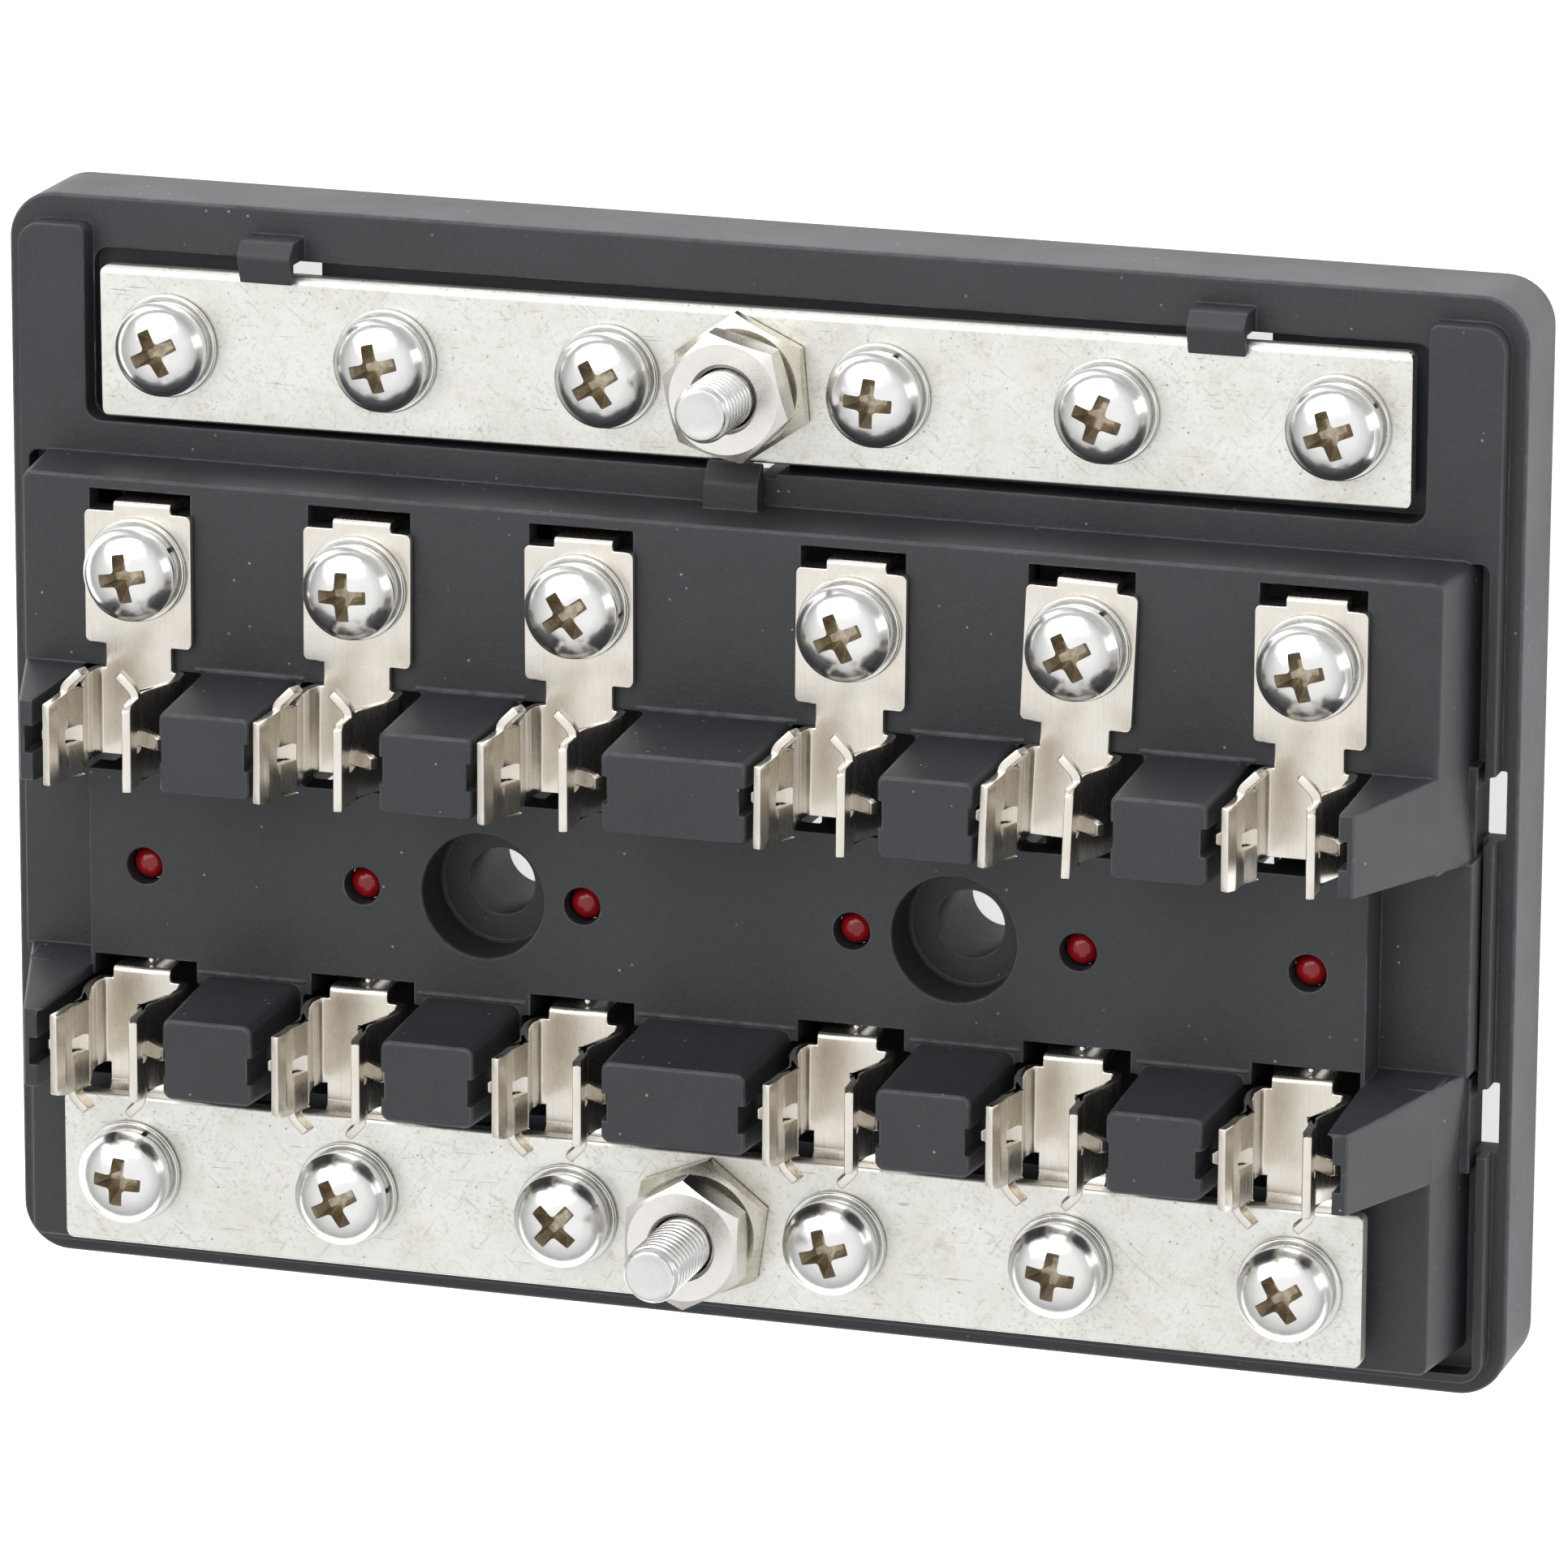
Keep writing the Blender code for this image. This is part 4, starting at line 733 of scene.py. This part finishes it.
def clip_mesh(name, lower):
    """One stamping from a single sheet: its front skin is drawn here and then given its thickness."""
    way = -1.0 if lower else 1.0
    top = PLATE_Z + SHEET
    bm = bmesh.new()
    known = {}

    def at(x, v, z):
        key = (round(x, 4), round(v, 4), round(z, 4))
        if key not in known:
            known[key] = bm.verts.new((x * MM, Y(way * v) * MM, z * MM))
        return known[key]

    def face(points):
        verts = []
        for p in points:
            vert = at(*p)
            if vert not in verts:
                verts.append(vert)
        if len(verts) > 2:
            try:
                bm.faces.new(verts)
            except ValueError:
                pass

    # lengths along the clip at which the arms are divided
    cols = [9.6, 10.3, 11.2, 12.45, 13.85, 14.8, 15.9, 16.95]
    rows = SECTION
    ledge_low, ledge_high = 26.4, 27.55

    def edge_shift(z, col):
        """The arm's corners are cut with small radii at the tip, and slope a little behind the stop."""
        if col == 0:
            return 0.12 * (max(0.0, z - (CLIP_TIP_Z - 0.35)) / 0.35) ** 2
        if col == len(cols) - 1:
            return -0.10 * max(0.0, z - 27.8) - 0.15 * (max(0.0, z - (CLIP_TIP_Z - 0.4)) / 0.4) ** 2
        return 0.0

    heights = sorted(set([z for _, z in rows] + [ledge_low, ledge_high, 25.5, 27.9]))
    skin = []
    for z in heights:
        for (x0, z0), (x1, z1) in zip(rows, rows[1:]):
            if z1 > z0 and z0 <= z <= z1:
                skin.append((x0 + (x1 - x0) * (z - z0) / (z1 - z0), z))
                break
    flat = [p for p in rows if abs(p[1] - top) < 1e-6]
    skin = flat + [p for p in skin if abs(p[1] - top) > 1e-6]

    for s in (-1, 1):
        def spot(i, j):
            x, z = skin[i]
            return (s * x, cols[j] + edge_shift(z, j), z)
        for i in range(len(skin) - 1):
            for j in range(len(cols) - 1):
                z = (skin[i][1] + skin[i + 1][1]) / 2
                if j == 3 and 25.5 < z < 27.9:
                    continue
                quad = [spot(i, j), spot(i + 1, j), spot(i + 1, j + 1), spot(i, j + 1)]
                face(quad)
        # tongue pressed out of the window, root at its inner end
        root = [k for k, p in enumerate(skin) if abs(p[1] - 25.5) < 1e-6][0]
        path = [skin[root], (3.05, 25.95), (3.75, 26.55), (4.55, 27.15), (5.02, 27.5)]
        widths = [0.0, 0.0, 0.02, 0.06, 0.28]
        for (xa, za), (xb, zb), wa, wb in zip(path, path[1:], widths, widths[1:]):
            face([(s * xa, 12.45 + wa, za), (s * xb, 12.45 + wb, zb), (s * xb, 13.85 - wb, zb), (s * xa, 13.85 - wa, za)])
        # end stop: a narrow finger bent in across the clip's end
        steps = [k for k, p in enumerate(skin) if ledge_low - 1e-6 <= p[1] <= ledge_high + 1e-6]
        bend = [(0.0, 0.0), (0.03, 0.18), (0.14, 0.38), (0.32, 0.58), (1.12 if lower else 1.3, 1.36 if lower else 1.54)]
        for a, b in zip(steps, steps[1:]):
            for (da, va), (db, vb) in zip(bend, bend[1:]):
                xa, za = skin[a]
                xb, zb = skin[b]
                ea, eb = cols[-1] + edge_shift(za, len(cols) - 1), cols[-1] + edge_shift(zb, len(cols) - 1)
                face([(s * (xa - da), ea + va, za), (s * (xb - da), eb + va, zb), (s * (xb - db), eb + vb, zb),
                      (s * (xa - db), ea + vb, za)])

    # flat middle of the trough, between the arms, as two faces that meet on the middle line
    neck, wide, far = 2.87, 4.65, 30.2
    row = LOWER_ROW_Y if lower else TERMINAL_ROW_Y
    hole_v = abs(row)
    inner = 2.87
    for s in (-1, 1):
        side = [(s * inner, c, top) for c in cols]
        side[0] = (s * inner, cols[0], top)
        if lower:
            tab = 2.45 if s > 0 else 2.6
            face([(0.0, cols[0], top), (s * tab, cols[0], top)] + side + [(s * neck, 17.05, top), (s * neck, 18.25, top),
                                                                          (0.0, 18.25, top)])
            rise = [(18.25, 0.0), (18.45, 0.04), (18.7, 0.18), (19.0, 0.52), (19.25, 0.80), (19.45, 0.92), (19.65, 0.95)]
            for (va, ra), (vb, rb) in zip(rise, rise[1:]):
                face([(0.0, va, top + ra), (s * neck, va, top + ra), (s * neck, vb, top + rb), (0.0, vb, top + rb)])
            z = top + 0.95
            plate = rounded([(s * neck, 19.65), (s * wide, 19.65), (s * wide, far), (0.0, far)], [0, 0.5, 0.5, 0], 4)
            plate = [(x, v) for x, v in plate]
            loop = [(0.0, 19.65, z)] + [(x, v, z) for x, v in plate]
        else:
            z = top
            plate = rounded([(s * neck, 17.05), (s * neck, 18.95), (s * wide, 18.95), (s * wide, far), (0.0, far)],
                            [0, 0.12, 0.5, 0.5, 0], 4)
            tab = 2.9 if s > 0 else 2.1
            plate = plate[:-1] + [(s * tab, far), (0.0, far)]
            loop = [(0.0, cols[0], z)] + side + [(x, v, z) for x, v in plate]
        hole = []
        for k in range(17):
            a = math.pi / 2 - math.pi * k / 16
            hole.append((s * 2.3 * math.cos(a), hole_v + 2.3 * math.sin(a), z))
        hole[0] = (0.0, hole_v + 2.3, z)
        hole[-1] = (0.0, hole_v - 2.3, z)
        face(loop + hole)

    # bent tab: down through the moulding at one end
    if lower:
        x0, x1, path = -2.6, 2.45, rounded([(9.6, top), (8.55, top), (8.5, 14.2)], [0, 0.8, 0], 6, loop=False)
    else:
        x0, x1, path = -2.1, 2.9, rounded([(30.2, top), (31.05, top), (31.1, 14.2)], [0, 0.8, 0], 6, loop=False)
    divisions = [x0] + ([0.0] if x0 < 0.0 < x1 else []) + [x1]
    for (va, za), (vb, zb) in zip(path, path[1:]):
        for xa, xb in zip(divisions, divisions[1:]):
            face([(xa, va, za), (xb, va, za), (xb, vb, zb), (xa, vb, zb)])

    bmesh.ops.remove_doubles(bm, verts=bm.verts, dist=2e-6)
    bmesh.ops.recalc_face_normals(bm, faces=bm.faces)
    up = sum(f.normal.z * f.calc_area() for f in bm.faces if abs(f.calc_center_median().z - top * MM) < 1e-5)
    if up < 0:
        bmesh.ops.reverse_faces(bm, faces=bm.faces)
    mesh = bpy.data.meshes.new(name)
    bm.to_mesh(mesh)
    bm.free()
    obj = add(bpy.data.objects.new(name, mesh))
    thick = obj.modifiers.new("thick", "SOLIDIFY")
    thick.thickness = SHEET * MM
    thick.offset = -1.0
    thick.use_even_offset = True
    thick.use_quality_normals = True
    settle(obj)
    edge = obj.modifiers.new("edge", "BEVEL")
    edge.width = 0.13 * MM
    edge.segments = 2
    edge.limit_method = "ANGLE"
    edge.angle_limit = math.radians(58)
    edge.use_clamp_overlap = False
    settle(obj)
    dress(obj, CLIP, 40.0)
    return finished(obj)


def leaned(mesh, lean, twist, middle):
    """A copy whose arms lean sideways by a distance at their tips, the whole turned a little in its plane."""
    made = mesh.copy()
    foot = (PLATE_Z + 1.1) * MM
    spin = Matrix.Rotation(math.radians(twist), 2)
    for vert in made.vertices:
        if vert.co.z > foot:
            vert.co.x += lean * MM * (vert.co.z - foot) / (CLIP_TIP_Z * MM - foot)
        if twist:
            flat = spin @ Vector((vert.co.x, vert.co.y - middle * MM))
            vert.co.x, vert.co.y = flat.x, flat.y + middle * MM
    return made


for lower, label, leans in ((False, "terminal_clip", LEAN_UPPER), (True, "bus_clip", LEAN_LOWER)):
    master = clip_mesh(label, lower)
    for i, (x, lean) in enumerate(zip(COLUMNS, leans), 1):
        twist = 0.0 if lower else TWIST_UPPER[i - 1]
        piece = copy_of("%s_sheet_%d" % (label, i), leaned(master, lean, twist, Y(TERMINAL_ROW_Y)), x)
        keep(piece, ROOT, "clip", "%s_%d" % (label, i))


# ---------------------------------------------------------------- screws with captive washers
def frustum(name, low_loop, high_loop, z0, z1):
    """A solid between two outlines of the same count, in mm."""
    n = len(low_loop)
    verts = [(x * MM, y * MM, z0 * MM) for x, y in low_loop] + [(x * MM, y * MM, z1 * MM) for x, y in high_loop]
    faces = [list(range(n))[::-1], [n + k for k in range(n)]]
    faces += [[k, (k + 1) % n, n + (k + 1) % n, n + k] for k in range(n)]
    mesh = bpy.data.meshes.new(name)
    mesh.from_pydata(verts, [], faces)
    return add(bpy.data.objects.new(name, closed(mesh)))


def cross_loop(half_width, reach, fillet):
    w, l = half_width, reach
    corners = [(l, -w), (l, w), (w, w), (w, l), (-w, l), (-w, w), (-l, w), (-l, -w), (-w, -w), (-w, -l), (w, -l), (w, -w)]
    radii = [0.12, 0.12, fillet] * 4
    return rounded(corners, radii, 3)


def head_mesh():
    dome = [(0.0, 3.74)]
    for k in range(1, 9):
        a = math.radians(90 - k * 9.5)
        dome.append((3.86 * math.cos(a), 1.58 + 2.16 * math.sin(a)))
    dome += [(3.93, 1.95), (3.95, 1.7), (3.93, 1.5), (3.82, 1.42), (2.04, 1.42), (2.04, 0.8), (0.0, 0.8)]
    head = turned("head", dome, 64)
    head.data.materials.append(HEAD)
    tool = frustum("cross", cross_loop(0.34, 1.15, 0.2), cross_loop(0.60, 2.36, 0.32), 1.75, 4.0)
    tool.data.materials.append(RECESS)
    combine(head, tool, "DIFFERENCE")
    settle(head)
    smooth(head, 34.0, False)
    return finished(head)


def split_ring(name, inner, outer, low, high, gap_deg, drift, steps=60):
    """A lock washer: square wire in almost a full turn, its ends sprung apart."""
    r = 0.10
    shape = rounded([(inner, 0.0), (outer, 0.0), (outer, high - low), (inner, high - low)], r, 2)
    bm = bmesh.new()
    loops = []
    gap = math.radians(gap_deg)
    for k in range(steps + 1):
        a = gap / 2 + (2 * math.pi - gap) * k / steps
        lift = low + drift * (k / steps - 0.5)
        loops.append([bm.verts.new((q * math.cos(a) * MM, q * math.sin(a) * MM, (h + lift) * MM)) for q, h in shape])
    n = len(shape)
    for a, b in zip(loops, loops[1:]):
        for k in range(n):
            bm.faces.new([a[k], a[(k + 1) % n], b[(k + 1) % n], b[k]])
    bm.faces.new(loops[0][::-1])
    bm.faces.new(loops[-1])
    bmesh.ops.recalc_face_normals(bm, faces=bm.faces)
    mesh = bpy.data.meshes.new(name)
    bm.to_mesh(mesh)
    bm.free()
    return add(bpy.data.objects.new(name, mesh))


def washer_mesh():
    flat = turned("flat_washer", rounded([(2.2, 0.6), (4.3, 0.6), (4.3, 0.0), (2.2, 0.0)], [0.05, 0.14, 0.14, 0.05], 3)
                  + [(2.2, 0.55)], 64)
    return finished(dress(flat, WASHER, 40.0))


HEAD_MESH = head_mesh()
FLAT_MESH = washer_mesh()
LOCK_MESH = finished(dress(split_ring("lock", 2.15, 3.68, 0.63, 1.38, 7.0, 0.04), WASHER, 40.0))
SHANKS = {}
for label, row, seat, shank, turns in (
        ("upper_bar_screw", UPPER_ROW_Y, UPPER_BAR[2] + 0.15, 5.0, TURN_UPPER_BAR),
        ("terminal_screw", TERMINAL_ROW_Y, PLATE_Z + 0.7 + 0.15, 6.5, TURN_TERMINAL),
        ("lower_bar_screw", LOWER_ROW_Y, LOWER_BAR[2] + 0.15, 8.0, TURN_LOWER_BAR)):
    # a thread of real ridges, seen from behind
    depth = shank
    profile = [(0.0, 1.0), (2.02, 1.0)]
    count = int((depth + 0.2) / 0.7)
    for k in range(count):
        z = -0.2 - k * 0.7
        profile += [(2.02, z), (1.68, z - 0.35)]
    profile += [(1.9, -depth + 0.25), (1.55, -depth), (0.0, -depth)]
    profile = [p for i, p in enumerate(profile) if i < 2 or p[1] >= -depth]
    shaft = turned(label + "_shank", profile, 32)
    SHANKS[label] = finished(dress(shaft, WASHER, 50.0, False))
    tilt = UPPER_BAR_TURN if row == UPPER_ROW_Y else 0.0
    for i, (x, turn) in enumerate(zip(COLUMNS, turns), 1):
        node = "%s_%d" % (label, i)
        y = Y(row) + x * tilt
        head = copy_of(node + "_head", HEAD_MESH, x, y, seat, turn)
        keep(head, node, "steel", node)
        for part, mesh, spin in (("lock", LOCK_MESH, rng.uniform(0, 360)), ("washer", FLAT_MESH, rng.uniform(0, 360)),
                                 ("shank", SHANKS[label], 0.0)):
            keep(copy_of("%s_%s" % (node, part), mesh, x, y, seat, spin), node, "steel")


# ---------------------------------------------------------------- studs and their nuts
def stud_mesh(name, tip, thread_from, under):
    """A rolled thread as one skin: crest and root follow a helix, faded out at both ends."""
    pitch, crest, root = 0.79, STUD_R, STUD_R - 0.40
    around, per = 48, 8
    rows = int((tip - thread_from) / pitch * per)
    bm = bmesh.new()
    loops = []
    for r in range(rows + 1):
        z = tip - (tip - thread_from) * r / rows
        loop = []
        for k in range(around):
            a = 2 * math.pi * k / around
            phase = ((z / pitch) - k / around) % 1.0
            wave = 0.5 + 0.5 * math.cos(2 * math.pi * phase)
            wave = min(1.0, max(0.0, (wave - 0.08) / 0.78))
            fade = min(1.0, max(0.0, (z - thread_from) / 0.8))
            limit = 2.0 + (tip - z) * 0.75
            q = root + (crest - root) * (wave * fade + (1 - fade))
            q = min(q, limit)
            loop.append(bm.verts.new((q * math.cos(a) * MM, q * math.sin(a) * MM, z * MM)))
        loops.append(loop)
    for z, q in ((thread_from - 0.3, crest), (under, crest), (under, 4.25), (under - 0.2, 4.4), (under - 2.4, 4.4),
                 (under - 2.6, 4.2)):
        loops.append([bm.verts.new((q * math.cos(2 * math.pi * k / around) * MM, q * math.sin(2 * math.pi * k / around) * MM,
                                    z * MM)) for k in range(around)])
    for a, b in zip(loops, loops[1:]):
        for k in range(around):
            bm.faces.new([a[k], b[k], b[(k + 1) % around], a[(k + 1) % around]])
    # the end is turned, a little hollow in the middle
    previous = loops[0]
    for q, drop_z in ((1.75, -0.02), (1.45, 0.06), (0.8, 0.10)):
        new = [bm.verts.new((q * math.cos(2 * math.pi * k / around) * MM, q * math.sin(2 * math.pi * k / around) * MM,
                             (tip - drop_z) * MM - 0.00002)) for k in range(around)]
        for k in range(around):
            bm.faces.new([previous[k], previous[(k + 1) % around], new[(k + 1) % around], new[k]])
        previous = new
    middle = bm.verts.new((0.0, 0.0, (tip - 0.11) * MM))
    for k in range(around):
        bm.faces.new([previous[k], previous[(k + 1) % around], middle])
    bm.faces.new(loops[-1])
    bmesh.ops.recalc_face_normals(bm, faces=bm.faces)
    mesh = bpy.data.meshes.new(name)
    bm.to_mesh(mesh)
    bm.free()
    return add(bpy.data.objects.new(name, mesh))


def hexagon(flats, turn):
    return [(flats / 2 / math.cos(math.pi / 6) * math.cos(math.radians(turn + 60 * k)),
             flats / 2 / math.cos(math.pi / 6) * math.sin(math.radians(turn + 60 * k))) for k in range(6)]


def nut_piece(name, flats, high, bore, turn, flat_r, both):
    """A hexagon nut with turned corners: flat_r is the flat circle on its face."""
    nut = outline(name, [hexagon(flats, turn)], 0.0, high)
    r = flats / 2
    reach = r / math.cos(math.pi / 6) + 0.3
    fall = (reach - flat_r) * math.tan(math.radians(30))
    profile = [(0.0, high + 0.005), (flat_r, high + 0.005), (reach, high - fall), (reach, -1.0), (0.0, -1.0)]
    if both:
        profile = [(0.0, high + 0.005), (flat_r, high + 0.005), (reach, high - fall), (reach, fall),
                   (flat_r, -0.005), (0.0, -0.005)]
    combine(nut, turned("dome", profile, 64), "INTERSECT")
    combine(nut, turned("bore", [(0.0, high + 1.0), (bore + 1.3, high + 1.0), (bore + 0.28, high - 0.02), (bore, high - 0.3),
                                 (bore, -1.0), (0.0, -1.0)], 48), "DIFFERENCE")
    return settle(nut)


for where, row, seat, tip, base_turn, nut_turn in (
        ("upper", UPPER_ROW_Y, UPPER_BAR[2], 22.7, 35.0, 45.0),
        ("lower", LOWER_ROW_Y, LOWER_BAR[2], 35.3, 22.0, 30.0)):
    under = (BAY_FLOOR_Z if where == "upper" else FACE_Z) - SKIN - 0.2
    stud = stud_mesh("stud_thread_" + where, tip, seat + 2.2, under)
    stud.location = (0.0, Y(row) * MM, 0.0)
    dress(stud, STUD, 60.0, False)
    keep(stud, ROOT, "nut", "stud_" + where)
    base_nut = nut_piece("base_hexagon_" + where, 10.7, 1.5, 2.65, base_turn, 5.0, False)
    base_nut.location = (0.0, Y(row) * MM, (seat + 0.15) * MM)
    dress(base_nut, BASE_NUT, 30.0)
    keep(base_nut, ROOT, "nut", "stud_base_nut_" + where)
    nut = nut_piece("top_hexagon_" + where, 9.53, 3.05, 2.6, nut_turn, 4.55, True)
    nut.location = (0.0, Y(row) * MM, (seat + 2.5) * MM)
    dress(nut, NUT, 30.0)
    keep(nut, "stud_nut_" + where, "nut", "stud_nut_" + where)
    lock = split_ring("stud_spring_ring_" + where, 2.75, 4.1, 0.0, 0.7, 10.0, 0.05)
    lock.location = (0.0, Y(row) * MM, (seat + 1.76) * MM)
    lock.rotation_euler = (0.0, 0.0, math.radians(-50))
    dress(lock, WASHER, 40.0)
    keep(lock, ROOT, "steel", "stud_lock_washer_" + where)


# ---------------------------------------------------------------- lamps, their leads and resistors
def wire(name, points, radius, ball=0.0):
    """A bent round wire through points in mm."""
    curve = bpy.data.curves.new(name, "CURVE")
    curve.dimensions = "3D"
    curve.bevel_depth = radius * MM
    curve.bevel_resolution = 4
    curve.use_fill_caps = True
    spline = curve.splines.new("POLY")
    spline.points.add(len(points) - 1)
    for point, (a, b, c) in zip(spline.points, points):
        point.co = (a * MM, b * MM, c * MM, 1.0)
    lead = add(bpy.data.objects.new(name, curve))
    mesh = baked(lead)
    drop(lead)
    obj = add(bpy.data.objects.new(name, closed(mesh, 1e-7)))
    return obj


def softly(points, r=0.9, steps=4):
    """A path in space with its corners eased."""
    made = [Vector(points[0])]
    for a, b, c in zip(points, points[1:], points[2:]):
        a, b, c = Vector(a), Vector(b), Vector(c)
        back = min(r, (a - b).length * 0.45, (c - b).length * 0.45)
        p, q = b + (a - b).normalized() * back, b + (c - b).normalized() * back
        for k in range(steps + 1):
            t = k / steps
            made.append(p * (1 - t) ** 2 + b * 2 * t * (1 - t) + q * t ** 2)
    made.append(Vector(points[-1]))
    return [tuple(v) for v in made]


lens = turned("lens", [(0.0, 17.5)] + [(1.46 * math.sin(math.radians(a)), 16.2 + 1.3 * math.cos(math.radians(a)))
                                       for a in range(10, 91, 10)]
              + [(1.46, 14.25), (1.5, 14.2), (1.96, 14.2), (2.0, 14.15), (2.0, 12.65), (1.95, 12.6), (0.0, 12.6)], 40)
LENS_MESH = finished(dress(lens, RED, 40.0, False))
lead = wire("lead", softly([(0.3, 0.0, 12.9), (0.3, 0.0, 11.6), (0.3, -1.2, 10.6), (0.3, -6.4, 10.6), (0.3, -7.6, 11.4),
                            (0.3, -8.15, 12.6), (0.3, -8.15, 17.2)]), 0.21)
bead = turned("bead", [(0.0, 0.33)] + [(0.33 * math.sin(math.radians(a)), 0.33 * math.cos(math.radians(a)))
                                       for a in range(20, 161, 20)] + [(0.0, -0.33)], 20)
bead.data.transform(Matrix.Translation((0.3 * MM, -8.15 * MM, 17.4 * MM)))
LEAD_MESH = finished(dress(merged("lead", [lead, bead]), WIRE, 50.0, False))
for i, x in enumerate(COLUMNS, 1):
    keep(copy_of("lamp_lens_%d" % i, LENS_MESH, x, Y(0.0)), ROOT, "lamp", "lamp_%d" % i)
    keep(copy_of("lamp_lead_%d" % i, LEAD_MESH, x, Y(0.0)), ROOT, "lamp")

for side in (1, -1):
    body = turned("body", [(0.0, 3.4), (0.6, 3.36), (0.95, 3.2), (1.15, 2.9), (1.18, 2.5), (1.12, 2.1), (1.0, 1.8), (1.0, -1.8),
                           (1.12, -2.1), (1.18, -2.5), (1.15, -2.9), (0.95, -3.2), (0.6, -3.36), (0.0, -3.4)], 32)
    body_mesh = finished(dress(body, TAN, 40.0, False))
    front = wire("front_lead", softly([(side * 4.3, -3.6, 12.2), (side * 4.3, -4.9, 12.2), (side * 3.5, -5.6, 12.2),
                                       (side * 1.2, -5.6, 12.2)], 0.6), 0.24)
    over = wire("over_lead", softly([(side * 4.3, 2.4, 12.2), (side * 4.3, 3.6, 11.9), (side * 3.6, 5.2, 11.0),
                                     (-4.4, 5.8, 10.4), (-4.7, 6.3, 10.4), (-4.7, 8.6, 10.4), (-4.7, 9.0, 11.2),
                                     (-4.7, 9.0, 14.0)], 0.4), 0.24)
    leads_mesh = finished(dress(merged("leads", [front, over]), WIRE, 50.0, False))
    for i, x in enumerate(COLUMNS, 1):
        if side == (1 if i in (1, 3, 5) else -1):
            piece = add(bpy.data.objects.new("resistor_body_%d" % i, body_mesh))
            piece.matrix_world = (Matrix.Translation(((x + side * 4.3) * MM, (Y(0.0) - 0.6) * MM, 12.2 * MM))
                                  @ Matrix.Rotation(math.pi / 2, 4, "X"))
            bpy.context.view_layer.update()
            keep(piece, ROOT, "resistor", "resistor_%d" % i)
            keep(copy_of("resistor_leads_%d" % i, leads_mesh, x, Y(0.0)), ROOT, "resistor")


# ---------------------------------------------------------------- floor, light and camera
def floor_look():
    look = Look("pale_floor", 0.6, 0.0, spread=False)
    look.set("Base Color", look.mix(look.band(look.noise(0.01, 3.0), 0.3, 0.7), (0.86, 0.86, 0.86), (0.84, 0.84, 0.84)))
    # painted light: the floor glows, so it stays white under the part where it lies in shadow, shows white through the
    # through-holes and hides the part's shadow
    look.shader.inputs["Emission Color"].default_value = (1.0, 1.0, 1.0, 1.0)
    # no glow under the hollows behind the terminals and the lower bar
    part = look.node("ShaderNodeSeparateXYZ", {0: look.mm})
    across = look.node("ShaderNodeMath", {0: look.node("ShaderNodeMath", {0: part.outputs["X"]}, operation="ABSOLUTE").outputs[0],
                                          1: 58.6}, operation="GREATER_THAN").outputs[0]
    glow = across
    for low, high in ((17.4, 32.8), (-32.4, -17.6)):
        inside = look.times(look.band(part.outputs["Y"], Y(low) - 0.1, Y(low)), look.band(part.outputs["Y"], Y(high), Y(high) - 0.1))
        outside = look.node("ShaderNodeMath", {0: 1.0, 1: inside}, operation="SUBTRACT").outputs[0]
        glow = look.times(outside, glow) if glow is not across else outside
    glow = look.node("ShaderNodeMath", {0: glow, 1: across}, operation="MAXIMUM").outputs[0]
    look.set("Emission Strength", look.times(glow, 0.75))
    look.bump([(look.noise(0.05, 2.0), 0.02)])
    return look.mat


mesh = bpy.data.meshes.new("floor")
mesh.from_pydata([(-3, -3, -0.0001), (3, -3, -0.0001), (3, 3, -0.0001), (-3, 3, -0.0001)], [], [(0, 1, 2, 3)])
floor = add(bpy.data.objects.new("floor", mesh))
floor.data.materials.append(floor_look())

world = bpy.data.worlds.new("studio")
bpy.context.scene.world = world
world.use_nodes = True
tree = world.node_tree
back = tree.nodes["Background"]
coords = tree.nodes.new("ShaderNodeTexCoord")
split = tree.nodes.new("ShaderNodeSeparateXYZ")
ramp = tree.nodes.new("ShaderNodeMapRange")
tree.links.new(coords.outputs["Generated"], split.inputs[0])
tree.links.new(split.outputs["Z"], ramp.inputs[0])
ramp.inputs[1].default_value = -0.05
ramp.inputs[2].default_value = 0.85
ramp.inputs[3].default_value = 0.30
ramp.inputs[4].default_value = 1.10
tree.links.new(ramp.outputs[0], back.inputs["Strength"])
back.inputs["Color"].default_value = (1.0, 1.0, 1.0, 1.0)


def area(name, direction, distance, size, power, size_y=None):
    light = bpy.data.lights.new(name, "AREA")
    light.shape = "RECTANGLE"
    light.size = size
    light.size_y = size_y or size
    light.energy = power
    obj = add(bpy.data.objects.new(name, light))
    aim = Vector(direction).normalized()
    obj.location = aim * distance
    obj.rotation_euler = aim.to_track_quat("Z", "Y").to_euler()
    return obj


area("overhead", (-0.31, 0.66, 0.68), 0.9, 1.15, 5.2, 0.75)
area("side", (0.94, 0.24, 0.24), 0.9, 0.34, 0.55, 0.34)

data = bpy.data.cameras.new("view")
data.lens = 237.7
data.sensor_width = 36.0
data.clip_start = 0.05
data.clip_end = 20.0
camera = add(bpy.data.objects.new("view", data))
right, up, out = Vector((0.9531, 0.0048, -0.3027)), Vector((-0.0842, 0.9646, -0.2499)), Vector((0.2908, 0.2636, 0.9197))
out.normalize()
right = up.cross(out).normalized()
up = out.cross(right)
camera.matrix_world = Matrix(((right.x, up.x, out.x, 0.2487), (right.y, up.y, out.y, 0.22355),
                              (right.z, up.z, out.z, 0.7865), (0, 0, 0, 1)))
bpy.context.scene.camera = camera
bpy.context.scene.view_settings.view_transform = "Standard"

bpy.context.view_layer.update()
